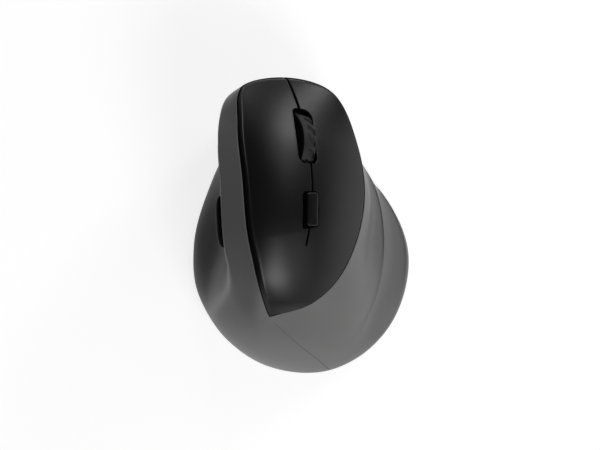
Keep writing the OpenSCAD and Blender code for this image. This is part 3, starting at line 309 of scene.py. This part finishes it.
# Materials
BROAD_GRAIN, BROAD_SHARE, BUMP_HEIGHT = 18.0, 0.35, 0.02
RAMP_STOPS = (0.35, 0.95)


def material(name, colour, spread, rough, grain, bump=0.0, metal=0.0, specular=0.5, rough_spread=0.04):
    """Moulded or plated surface: colour and roughness vary with a fine grain of the given size in mm."""
    made = bpy.data.materials.new(name)
    made.use_nodes = True
    nodes, links = made.node_tree.nodes, made.node_tree.links
    shader = nodes["Principled BSDF"]
    place = nodes.new("ShaderNodeTexCoord")
    fine = nodes.new("ShaderNodeTexNoise")
    fine.inputs["Scale"].default_value = 1 / (grain * MM)
    fine.inputs["Detail"].default_value = 4
    broad = nodes.new("ShaderNodeTexNoise")
    broad.inputs["Scale"].default_value = 1 / (BROAD_GRAIN * MM)
    both = nodes.new("ShaderNodeMath")
    both.operation = "MULTIPLY_ADD"
    both.inputs[1].default_value = BROAD_SHARE
    ramp = nodes.new("ShaderNodeValToRGB")
    for stop, place_on_ramp, k in zip(ramp.color_ramp.elements, RAMP_STOPS, (1 - spread, 1 + spread)):
        stop.position = place_on_ramp
        stop.color = [c * k for c in colour] + [1]
    gloss = nodes.new("ShaderNodeMapRange")
    gloss.inputs["To Min"].default_value = rough - rough_spread
    gloss.inputs["To Max"].default_value = rough + rough_spread
    for noise in (fine, broad):
        links.new(place.outputs["Object"], noise.inputs["Vector"])
    links.new(broad.outputs["Fac"], both.inputs[0])
    links.new(fine.outputs["Fac"], both.inputs[2])
    links.new(both.outputs["Value"], ramp.inputs["Fac"])
    links.new(ramp.outputs["Color"], shader.inputs["Base Color"])
    links.new(fine.outputs["Fac"], gloss.inputs["Value"])
    links.new(gloss.outputs["Result"], shader.inputs["Roughness"])
    shader.inputs["Metallic"].default_value = metal
    shader.inputs["Specular IOR Level"].default_value = specular
    if bump:
        relief = nodes.new("ShaderNodeBump")
        relief.inputs["Strength"].default_value = bump
        relief.inputs["Distance"].default_value = BUMP_HEIGHT * MM
        links.new(fine.outputs["Fac"], relief.inputs["Height"])
        links.new(relief.outputs["Normal"], shader.inputs["Normal"])
    return made


def grey(v):
    return (v, v * 1.005, v * 0.995)


SHELL = material("shell_grey", grey(0.18), 0.05, 0.44, 0.35, bump=0.25, specular=0.5)
# Near-black on the shell's inner faces is painted shade: it darkens the groove beside the cover, where only
# shade falls.
PAINTED_SHADE_INSIDE = material("shell_inside_painted_shade", grey(0.03), 0.06, 0.75, 0.5, specular=0.2)
COVER = material("cover_satin", grey(0.006), 0.10, 0.36, 0.3, bump=0.12, specular=0.34)
GLOSS = material("button_gloss", grey(0.006), 0.10, 0.3, 0.4, specular=0.22)
SATIN = material("button_satin", grey(0.004), 0.10, 0.6, 0.4, specular=0.2)
# The tyre's sidewalls get a near-black rubber: painted shade, as they sit down in the wheel slot.
PAINTED_SHADE_SIDEWALL = material("tyre_side_painted_shade", grey(0.003), 0.10, 0.8, 0.4, specular=0.1)
RUBBER = material("tyre_rubber", grey(0.016), 0.15, 0.62, 0.4, bump=0.3, specular=0.4)
HUB = material("hub_moulding", grey(0.05), 0.08, 0.5, 0.5)
BASE = material("base_moulding", grey(0.035), 0.08, 0.55, 0.4, bump=0.3)
FOOT = material("foot_sheet", grey(0.03), 0.08, 0.35, 0.8)
FRAME = material("frame_moulding", grey(0.012), 0.08, 0.8, 0.5, specular=0.2)
BOARD = material("board_mask", (0.008, 0.014, 0.011), 0.12, 0.55, 1.2, specular=0.3)
SWITCH = material("switch_moulding", grey(0.015), 0.1, 0.6, 0.5, specular=0.3)
PLUNGER = material("plunger_moulding", (0.6, 0.6, 0.58), 0.05, 0.5, 0.5)
LENS = material("lens_moulding", (0.55, 0.6, 0.65), 0.04, 0.12, 0.8)
STEEL = material("plated_steel", (0.55, 0.55, 0.57), 0.06, 0.32, 0.3, metal=1.0)
CELL = material("cell_sleeve", (0.06, 0.065, 0.07), 0.1, 0.4, 1.0)
CABLE = material("cable_sleeve", grey(0.03), 0.1, 0.6, 0.5)

SLOT_LOOKS = {"hub": HUB, "base": BASE, "foot": FOOT, "frame": FRAME, "board": BOARD, "switch": SWITCH,
              "plunger": PLUNGER, "lens": LENS, "steel": STEEL, "cell": CELL, "cable": CABLE,
              "shell": SHELL, "cover": COVER, "small_button": GLOSS, "tyre": RUBBER}


def dress_cad_nodes():
    """Every CAD node gets its slot's material; the pieces below stand for some of them."""
    for part in frame["record"]["subparts"]:
        data = frame["nodes"][part["node"]].data
        data.materials.clear()
        data.materials.append(SLOT_LOOKS[part["material_slot"]])


# Shells: a filleted edge along the cover's groove, then the skirt down to the lower edge; their inner faces
# are painted near-black as shade
EDGE_R = 0.3
SEAM = 0.004
# Under the cover's front lip the shell's edge is sunk, between these stations
SUNK_FROM, SUNK_TO = (6.9, 7.3), (8.7, 9.0)
LIP_SINK, SUNK_RISE, SUNK_SLOPE = 0.2, 0.3, 0.1
FILLET_ROWS = np.array([0, 0.25, 0.5, 0.75, 1])
SKIRT_ROWS = np.concatenate([
    np.linspace(0.06, 0.86, 12), np.linspace(0.89, 1.09, 15), np.linspace(1.1, 1.5, 9),
    np.linspace(1.56, 2.5, 14), np.linspace(2.56, 2.94, 9), np.linspace(2.96, 3.04, 9),
    np.linspace(3.06, 3.5, 9), np.linspace(3.55, 4.45, 19), np.linspace(4.6, 5, 4)])
INNER_ROWS = [0, 0.5, 0.62, 0.75, 0.93, 1, 1.1, 1.3, 1.5, 1.75, 2, 2.35, 2.7, 3, 3.3, 3.6, 3.8, 4, 4.4, 5]
# Part of the skirt that lies behind the fillet
FILLET_S = 0.05
TIP_T, LIP_SAMPLE_T = 0.08, 0.97
REAR_COLUMNS, WINDOW_COLUMNS, FRONT_COLUMNS, FINGER_COLUMNS = 120, 50, 80, 230


def edge_out(u):
    """The cover's outward direction along its edge."""
    t = np.where(u < FRONT_LEFT, u / FRONT_LEFT, (STATIONS - u) / (STATIONS - FRONT_RIGHT))
    f = 0.5 * (1 - ease(0, 2 * TIP_T, t))
    sides = cover_out(np.clip(t, TIP_T, LIP_SAMPLE_T), np.where(u < FRONT_LEFT, f, 1 - f))
    lip_f = np.clip((u - FRONT_LEFT) / (FRONT_RIGHT - FRONT_LEFT), 0, 1)
    lip = cover_out(np.full_like(u, LIP_SAMPLE_T), lip_f)
    at_front = (u >= FRONT_LEFT) & (u <= FRONT_RIGHT)
    return np.where(at_front[..., None], lip, sides)


def edge_in(u):
    d = loop(np.minimum(u + 0.05, STATIONS)) - loop(np.maximum(u - 0.05, 0))
    tip_in = unit(cover(TIP_T, 0.5) - LOOP[0])
    from_tip = ease(0, 0.5, np.minimum(u, STATIONS - u))[..., None]
    return unit(mix(tip_in, unit(np.cross(d, edge_out(u))), from_tip))


def shell_inner(u):
    """The shell's inner rows: a ledge under the cover, the wall, and a step round the base plate."""
    flex = along(FLEX_Y)
    flex_left, flex_right = FRONT_LEFT * flex, STATIONS - (STATIONS - FRONT_RIGHT) * flex
    travel = ease(flex_left, flex_left + 0.4, u) * (1 - ease(flex_right - 0.4, flex_right, u))
    depth = (COVER_T + SEAT + PRESS_ROOM * travel)[..., None]
    reach = mix(LEDGE_TIP, LEDGE_W, ease(0, 0.9, np.minimum(u, STATIONS - u)))[..., None]
    top, down, inward = loop(u), edge_out(u), edge_in(u)
    ledge = [top - down * depth, top - down * depth + inward * reach,
             top - down * (depth + LEDGE_T) + inward * reach]
    walls = [skirt(u, s) - skirt_out(u, s) * WALL_T for s in INNER_ROWS[3:16]]
    step = [rim_at(u, STEP_IN + STEP_W, STEP_Z + STEP_T), rim_at(u, STEP_IN + STEP_W, STEP_Z),
            rim_at(u, STEP_IN, STEP_Z), rim_at(u, STEP_IN, CASE_Z)]
    return np.stack(ledge + walls + step, 1)


def shell(name, columns, window=None):
    start = unit(skirt(columns, 0.1) - loop(columns)) * EDGE_R
    drop = edge_out(columns) * EDGE_R
    fillet = [loop(columns) - drop * (1 - q)**2 + start * q**2 for q in FILLET_ROWS]
    sunk = (ease(*SUNK_FROM, columns) * (1 - ease(*SUNK_TO, columns)))[:, None]
    rises = np.linspace(0, -SUNK_RISE, len(FILLET_ROWS))
    below = [mix(p, skirt(columns, LIP_SINK) - drop * k, sunk) for p, k in zip(fillet, rises)]
    walls = [mix(skirt(columns, s), skirt(columns, max(s, LIP_SINK + s * SUNK_SLOPE)), sunk)
             for s in SKIRT_ROWS]
    outer = np.stack(below + walls, 1)
    inner_s = np.concatenate([FILLET_ROWS * FILLET_S, SKIRT_ROWS])
    rows = shell_inner(columns)
    k = np.clip(np.searchsorted(INNER_ROWS, inner_s, side="right") - 1, 0, len(INNER_ROWS) - 2)
    part = (inner_s - np.take(INNER_ROWS, k)) / (np.take(INNER_ROWS, k + 1) - np.take(INNER_ROWS, k))
    inner = mix(rows[:, k], rows[:, k + 1], part[None, :, None])
    points, faces, skin = slab(outer, inner, window)
    # Inner faces take the painted-shade material (index 1), which makes the groove beside the cover look
    # black.
    picks = (np.arange(len(faces)) >= skin).astype(int)
    return new_mesh(name, points, faces, [SHELL, PAINTED_SHADE_INSIDE], picks)


def add_shells():
    low, high = BACK_U[0] - THUMB_MARGIN, FORWARD_U[1] + THUMB_MARGIN
    left = np.concatenate([np.linspace(SEAM, low, REAR_COLUMNS)[:-1],
                           np.linspace(low, high, WINDOW_COLUMNS),
                           np.linspace(high, FRONT - SEAM, FRONT_COLUMNS)[1:]])
    i0 = REAR_COLUMNS - 1
    j0, j1 = (len(FILLET_ROWS) + int(np.argmin(abs(SKIRT_ROWS - s))) for s in THUMB_S)
    piece = shell("thumb_side_shell", left, [i0, i0 + WINDOW_COLUMNS - 1, j0, j1])
    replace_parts(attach(piece, "case"), "left_shell")
    piece = shell("finger_side_shell", np.linspace(FRONT + SEAM, STATIONS - SEAM, FINGER_COLUMNS))
    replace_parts(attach(piece, "case"), "right_shell")


# Thumb buttons: pillows that follow the wall in one window
PILLOW_COLUMNS, PILLOW_ROWS, PILLOW_EDGE = 33, 17, 0.3


def add_thumb_button(name, us, proud, body):
    a = (1 - np.cos(np.linspace(0, math.pi, PILLOW_COLUMNS))) / 2
    b = (1 - np.cos(np.linspace(0, math.pi, PILLOW_ROWS))) / 2
    heights = mix(THUMB_S[0] + THUMB_MARGIN, THUMB_S[1] - THUMB_MARGIN, b)
    face = np.stack([skirt(mix(us[0], us[1], a), s) for s in heights], 1)
    swell = np.sqrt(1 - abs(2 * a - 1)**4)[:, None] * np.sqrt(1 - abs(2 * b - 1)**4)[None]
    outer, inner = face.copy(), face.copy()
    outer[..., 0] -= mix(PILLOW_EDGE, 1, swell) * proud
    inner[..., 0] += THUMB_T
    points, faces, _ = slab(outer, inner)
    piece = new_mesh(name, points, faces, [SATIN])
    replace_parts(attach(piece, body), body)


# Cover: two halves that part along the slit
CHAMFER_W, CHAMFER_D, CHAMFER_SOFT = 1.6, 0.5, 0.06
BEAD_AT, BEAD_W, BEAD_H = 1.85, 0.3, 0.2
# The groove, chamfer and bead start at this share of their size and grow along this part of the cover
TIP_SHARE, TIP_GROWTH = 0.45, (0.05, 0.45)
FILLET = 0.4
LIP_FILLET, LIP_DROP = 1.6, 0.5
LIP_CORNER, LIP_CORNER_T = 0.8, 0.95
SLOT_FRONT, SLOT_REAR = 10.8, 10.8
SLOT_SIDES = {-1: 4.4, 1: 3.8}
SLOT_RADII = {-1: (2.0, 3.0), 1: (4.0, 2.0)}
DPI_FRONT, DPI_REAR = 6.95, 7.4
DPI_SIDES = {-1: 3.8, 1: 3.4}
DPI_R = 1.3
DPI_TILT, DPI_ASIDE = 0.09, 0.2
SLIT_EDGE, SLIT_COLUMNS = 1.2, 12
DRAFT, DRAFT_SHARE, LIP_DRAFT_T = 0.7, 0.3, 0.009
# Rows along a half: from the tip to the lip, over the lip, and closer ones beside the ends of the openings
TIP_ROW, BODY_END, LIP_START, BODY_ROWS, LIP_ROWS = 0.012, 0.955, 0.96, 140, 22
NEAR_ROWS = np.array([-0.3, -0.03, 0.03, 0.12, 0.3, 0.6, 1.0, 1.5, 2.2, 3.0, 4.0])
SLIT_TAPER = (SLIT_END_Y - 0.2, SLIT_END_Y + 0.5)
# Columns beside each edge of a half, in mm from it, drawn together where the half is narrow
EDGE_COLUMNS = np.array([0, 0.05, 0.12, 0.2, 0.3, 0.45, 0.75, 1.1, 1.35, 1.5, 1.6, 1.7, 1.8, 1.9, 2.0,
                         2.15, 2.4])
NARROW, MIDDLE_COLUMNS = 6.0, 26


def opening(d, rear, front, half, r_front, r_rear):
    """Half width of a rounded opening at distance d along it, or nan outside it."""
    room = np.where(d > 0, front - d, rear + d)
    r = np.where(d > 0, r_front, r_rear)
    bend = np.clip(r - room, 0, r)
    return np.where(room < 0, np.nan, half - r + np.sqrt(r**2 - bend**2))


def beside(axes, t, x, f):
    """Place across the cover at sideways distance x in a local frame."""
    w = into(axes, cover(t, 1.0))[..., 0] - into(axes, cover(t, 0.0))[..., 0]
    for _ in range(6):
        f = f + (x - into(axes, cover(t, f))[..., 0]) / w
    return f


def parted_at(y):
    """How far the slit is open at y, from 0 to 1."""
    return ease(*SLIT_TAPER, y)


def inner_edge(t, side):
    f = split(t)
    y = cover(t, f)[..., 1]
    edge = f + side * (SLIT_W / 2 * parted_at(y)) / cover_width(t)
    slot = opening(y - WHEEL_Y, SLOT_REAR, SLOT_FRONT, SLOT_SIDES[side], *SLOT_RADII[side])
    cap = opening(y - DPI_Y, DPI_REAR, DPI_FRONT, DPI_SIDES[side], DPI_R, DPI_R)
    edge = np.where(np.isnan(slot), edge, beside(WHEEL, t, side * np.nan_to_num(slot), f))
    return np.where(np.isnan(cap), edge, beside(DPI, t, side * np.nan_to_num(cap), f))


def cover_rows():
    ys = np.concatenate([WHEEL_Y - SLOT_REAR + NEAR_ROWS, WHEEL_Y + SLOT_FRONT - NEAR_ROWS,
                         DPI_Y - DPI_REAR + NEAR_ROWS, DPI_Y + DPI_FRONT - NEAR_ROWS,
                         SLIT_END_Y + np.linspace(-0.3, 0.6, 7)])
    body, lip = np.linspace(TIP_ROW, BODY_END, BODY_ROWS), np.linspace(LIP_START, LIP_T, LIP_ROWS)
    rows = np.unique(np.round(np.concatenate([body, lip, along(ys)]), 5))
    return rows[np.concatenate([[True], np.diff(rows) > 1e-4])]


def fall(d, r):
    """Drop of a fillet of radius r at distance d from its edge."""
    return r - np.sqrt(np.maximum(r**2 - np.clip(r - d, 0, r)**2, 0))


def add_cover_half(name, side):
    ts = cover_rows()
    width = cover_width(ts)
    corner = LIP_CORNER * ease(LIP_CORNER_T, LIP_T, ts)
    grown = mix(TIP_SHARE, 1, ease(*TIP_GROWTH, ts))
    inner = inner_edge(ts, side)
    outer = (GROOVE_W * grown + corner) / width if side < 0 else 1 - (EDGE_GAP + corner) / width
    low, high = (outer, inner) if side < 0 else (inner, outer)
    span = (high - low) * width
    scale = np.minimum(1, span / NARROW)[:, None]
    first = EDGE_COLUMNS[None] * scale
    last = span[:, None] - EDGE_COLUMNS[::-1][None] * scale
    middle = mix(first[:, -1:], last[:, :1], np.linspace(0, 1, MIDDLE_COLUMNS)[None, 1:-1])
    across = np.concatenate([first, middle, last], 1)
    t = np.repeat(ts[:, None], across.shape[1], 1)
    f = low[:, None] + across / width[:, None]
    n = cover_out(t, f)
    d_low, d_high = across / scale, (span[:, None] - across) / scale
    length = np.linalg.norm(cover(ts + 0.005, 0.5) - cover(ts - 0.005, 0.5), axis=-1) / 0.01
    d_lip = ((LIP_T - ts) * length)[:, None]
    parted = parted_at(cover(ts, split(ts))[:, 1])[:, None]
    d_out, d_in = (d_low, d_high) if side < 0 else (d_high, d_low)
    lean = 1 - d_out / CHAMFER_W
    rounded = (lean + np.sqrt(lean**2 + CHAMFER_SOFT**2)) / 2
    bead = BEAD_H * np.exp(-((d_out - BEAD_AT) / BEAD_W)**2)
    outer_fall = (CHAMFER_D * rounded - bead) * grown[:, None] if side < 0 else fall(d_out, FILLET)
    drop = (outer_fall + fall(d_in, FILLET) * parted) * scale + fall(d_lip, LIP_FILLET) * LIP_DROP
    top = cover(t, f) - n * drop[..., None]
    under = lower_face(ts, t, f, low, high, width, side)
    points, faces, _ = slab(top, under)
    piece = new_mesh(name, points, faces, [COVER])
    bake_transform(piece)
    return piece


def lower_face(ts, t, f, low, high, width, side):
    """Underside of a cover half: drawn in at its outer edge, thin along the slit, square to the openings."""
    draft = np.minimum(DRAFT / width, DRAFT_SHARE * (high - low))[:, None]
    a = np.minimum(t, LIP_T - LIP_DRAFT_T)
    b = np.clip(f, low[:, None] + (draft if side < 0 else 0), high[:, None] - (0 if side < 0 else draft))
    under = cover(a, b) - cover_out(a, b) * COVER_T
    y = cover(ts, split(ts))[:, 1]
    n = cover_out(ts, split(ts))
    n = np.where((abs(y - WHEEL_Y) < SLOT_FRONT + 0.1)[:, None], WHEEL[2], n)
    n = np.where((abs(y - DPI_Y) < DPI_REAR + 0.1)[:, None], DPI[2], n)
    columns = range(-SLIT_COLUMNS, 0) if side < 0 else range(SLIT_COLUMNS - 1, -1, -1)
    for c, k in zip(columns, np.linspace(0, 1, SLIT_COLUMNS)):
        straight = cover(ts, f[:, c]) - n * SLIT_EDGE
        under[:, c] = mix(under[:, c], straight, k)
    return under


def add_cover():
    left = add_cover_half("cover_thumb_half", -1)
    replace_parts(left, "left_button", "palm_cover")
    right = add_cover_half("cover_finger_half", 1)
    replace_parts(right, "right_button")


# Wheel: a rubber tyre with oblique pockets, its sidewalls painted darker as shade
TREADS, TREAD_SLANT, TREAD_D = 17, 0.16, 0.8
TYRE_T, TYRE_CROWN_R = 2.6, 14.0
# The tyre's edges fall away beyond TYRE_EDGE_X from its middle
TYRE_EDGE_X, TYRE_EDGE_W, TYRE_EDGE_D = 2.5, 0.7, 0.9
# A pocket's start and end along one tread pitch and across the tyre, each with its slope
POCKET_ALONG = ((0.1, 0.32), (0.62, 0.84))
POCKET_ACROSS = ((-1.2, 0.2), (2.2, 2.8))
TYRE_TURNS, TYRE_COLUMNS, PAINTED_SHADE_COLUMNS = 624, 41, 3


def add_tyre():
    phi = np.linspace(0, 2 * math.pi, TYRE_TURNS, endpoint=False)[:, None]
    x = np.linspace(-1, 1, TYRE_COLUMNS)[None] * TYRE_W / 2
    edge = TYRE_EDGE_D * np.clip((abs(x) - TYRE_EDGE_X) / TYRE_EDGE_W, 0, 1)**2
    crown = WHEEL_R - (TYRE_CROWN_R - np.sqrt(TYRE_CROWN_R**2 - x**2)) - edge
    step = (phi * TREADS / (2 * math.pi) + x * TREAD_SLANT) % 1
    wave = ease(*POCKET_ALONG[0], step) * (1 - ease(*POCKET_ALONG[1], step))
    inside = ease(*POCKET_ACROSS[0], x) * (1 - ease(*POCKET_ACROSS[1], x))
    radius = crown - TREAD_D * wave * inside
    spots = np.stack(np.broadcast_arrays(x, radius * np.sin(phi), radius * np.cos(phi)), -1)
    hub_r = WHEEL_R - TYRE_T
    bore = np.stack(np.broadcast_arrays(x, hub_r * np.sin(phi), hub_r * np.cos(phi)), -1)
    centre = np.array([0, 0, WHEEL_PROUD - WHEEL_R])
    ring = np.concatenate([spots, bore[:, ::-1]], 1) + centre
    count = ring.shape[1]
    ids = np.arange(TYRE_TURNS * count).reshape(TYRE_TURNS, count)
    ids = np.concatenate([ids, ids[:, :1]], 1)
    faces = quads(ids, wrap=True)
    # The outer columns on each side of the tyre take the painted-shade sidewall rubber.
    side = np.arange(len(faces)) % count
    picks = (side < PAINTED_SHADE_COLUMNS) | (side >= TYRE_COLUMNS - PAINTED_SHADE_COLUMNS)
    piece = new_mesh("tyre", out_of(WHEEL, ring.reshape(-1, 3)), faces, [RUBBER, PAINTED_SHADE_SIDEWALL], picks, sharp=50)
    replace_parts(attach(piece, "wheel"), "wheel_tyre")


# Speed button: a rounded cap with a filleted crown, a flange and a stem
CORNER_STEPS, FILLET_STEPS = 10, 7
CAP_FILLET, CAP_CROWN, CAP_ROOM = 0.7, 0.06, 0.7
CAP_LEAST_R, CROWN_LEAST_R = 0.3, 0.05
FLANGE_OUT, FLANGE_T = 0.8, 0.8
STEM_W, STEM_R, STEM_LOW = 4.0, 0.3, -6.0
CROWN_SHARES = (0.1, 0.35, 0.6, 0.85)


def rounded_outline(w, l, r):
    points = []
    for cx, cy, start in ((1, 1, 0), (-1, 1, 90), (-1, -1, 180), (1, -1, 270)):
        for a in np.radians(np.linspace(start, start + 90, CORNER_STEPS)):
            points.append((cx * (w / 2 - r) + r * math.cos(a), cy * (l / 2 - r) + r * math.sin(a)))
    return np.array(points)


def add_dpi_button():
    rings = []
    for q in np.linspace(0, math.pi / 2, FILLET_STEPS):
        inset = CAP_FILLET * (1 - math.sin(q))
        z = DPI_PROUD - CAP_FILLET * (1 - math.cos(q))
        rings.append((DPI_W - 2 * inset, DPI_L - 2 * inset, max(DPI_R - inset, CAP_LEAST_R), z))
    w, l, r, z = rings[0]
    tops = [(w * k, l * k, max(r * k, CROWN_LEAST_R), z + CAP_CROWN * (1 - k * k)) for k in CROWN_SHARES]
    flange_w, flange_l = DPI_W + 2 * FLANGE_OUT, DPI_L + 2 * FLANGE_OUT
    flange_top = -COVER_T - CAP_ROOM
    flange_low = flange_top - FLANGE_T
    rings += [(DPI_W, DPI_L, DPI_R, flange_top), (flange_w, flange_l, DPI_R, flange_top),
              (flange_w, flange_l, DPI_R, flange_low), (STEM_W, STEM_W, STEM_R, flange_low),
              (STEM_W, STEM_W, STEM_R, STEM_LOW)]
    count = 4 * CORNER_STEPS
    loops = [np.column_stack([rounded_outline(w, l, r), np.full(count, z)]) for w, l, r, z in tops + rings]
    spots = np.concatenate(loops)
    spots[:, 2] -= DPI_TILT * spots[:, 0] * np.clip(spots[:, 2] / DPI_PROUD, 0, 1)
    points = out_of(DPI, spots + [DPI_ASIDE, 0, 0])
    ids = np.arange(len(points)).reshape(len(loops), count)
    ids = np.concatenate([ids, ids[:, :1]], 1)
    faces = quads(ids).tolist() + [ids[0, :-1].tolist(), ids[-1, :-1].tolist()]
    piece = new_mesh("speed_button", points, faces, [GLOSS])
    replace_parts(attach(piece, "dpi_button"), "dpi_button")


# Stage: white floor, soft boxes and the camera straight above
CAMERA = (-0.5, 1.1, 900.0)
FOCUS_PIXELS, IMAGE_PIXELS, SENSOR = 2208.3, 600, 36.0
FLOOR, FLOOR_GLOW, FLOOR_HALF, AMBIENT = 0.45, 0.8, 3000.0, 0.015
# Soft boxes, in metres: name, azimuth and elevation in degrees, width and height, power in watts
BOX_DISTANCE, BOX_AIM_Z = 1.2, 0.03
SOFT_BOXES = [("front_box", 90, 15, 0.4, 0.4, 2.4), ("front_right_low", 48, 20, 0.3, 0.3, 3.0),
              ("front_right_high", 40, 35, 0.5, 0.5, 1.3), ("right_low", 330, 25, 0.5, 0.5, 0.9),
              ("rear_right_high", 302, 39, 0.48, 0.48, 5.8), ("rear_low", 262, 18, 0.5, 0.5, 1.0),
              ("front_left_low", 120, 18, 0.5, 0.5, 0.6)]


def add_lamp(name, azimuth, elevation, width, height, power):
    """Soft box aimed at the object; azimuth runs from +X towards the front."""
    data = bpy.data.lights.new(name, "AREA")
    data.shape = "RECTANGLE"
    data.size, data.size_y = width, height
    data.energy = power
    a, e = math.radians(azimuth), math.radians(elevation)
    aim = Vector((math.cos(a) * math.cos(e), math.sin(a) * math.cos(e), math.sin(e)))
    lamp = bpy.data.objects.new(name, data)
    lamp.location = aim * BOX_DISTANCE + Vector((0, 0, BOX_AIM_Z))
    lamp.rotation_euler = (-aim).to_track_quat("-Z", "Y").to_euler()
    lamp.visible_camera = False
    bpy.context.scene.collection.objects.link(lamp)


def floor_paper():
    """Pale paper that takes the object's shadow and looks white to the camera where it is lit."""
    paper = material("floor_paper", (FLOOR,) * 3, 0.01, 0.9, 2.0, specular=0.1)
    nodes, links = paper.node_tree.nodes, paper.node_tree.links
    rays, glow, add = (nodes.new("ShaderNode" + kind) for kind in ("LightPath", "Emission", "AddShader"))
    seen = rays.outputs["Is Camera Ray"]
    for other in ("Is Glossy Ray", "Is Transmission Ray"):
        most = nodes.new("ShaderNodeMath")
        most.operation = "MAXIMUM"
        links.new(seen, most.inputs[0])
        links.new(rays.outputs[other], most.inputs[1])
        seen = most.outputs["Value"]
    level = nodes.new("ShaderNodeMapRange")
    level.inputs["To Max"].default_value = FLOOR_GLOW
    links.new(seen, level.inputs["Value"])
    links.new(level.outputs["Result"], glow.inputs["Strength"])
    links.new(nodes["Principled BSDF"].outputs["BSDF"], add.inputs[0])
    links.new(glow.outputs["Emission"], add.inputs[1])
    links.new(add.outputs["Shader"], nodes["Material Output"].inputs["Surface"])
    return paper


def add_stage():
    corners = np.array([[-1, -1, 0], [1, -1, 0], [1, 1, 0], [-1, 1, 0]]) * FLOOR_HALF
    new_mesh("floor", corners, [(0, 1, 2, 3)], [floor_paper()])
    for box in SOFT_BOXES:
        add_lamp(*box)
    world = bpy.data.worlds.new("studio")
    world.use_nodes = True
    back = world.node_tree.nodes["Background"]
    back.inputs["Color"].default_value = (1, 1, 1, 1)
    back.inputs["Strength"].default_value = AMBIENT
    bpy.context.scene.world = world
    camera = bpy.data.cameras.new("camera")
    camera.sensor_width = SENSOR
    camera.lens = FOCUS_PIXELS / IMAGE_PIXELS * SENSOR
    camera.clip_start = 0.05
    eye = bpy.data.objects.new("camera", camera)
    eye.location = [c * MM for c in CAMERA]
    bpy.context.scene.collection.objects.link(eye)
    bpy.context.scene.camera = eye
    bpy.context.scene.view_settings.view_transform = "Standard"


dress_cad_nodes()
add_shells()
add_thumb_button("back_pillow", BACK_U, BACK_PROUD, "back_button")
add_thumb_button("forward_pillow", FORWARD_U, FORWARD_PROUD, "forward_button")
add_cover()
add_tyre()
add_dpi_button()
add_stage()
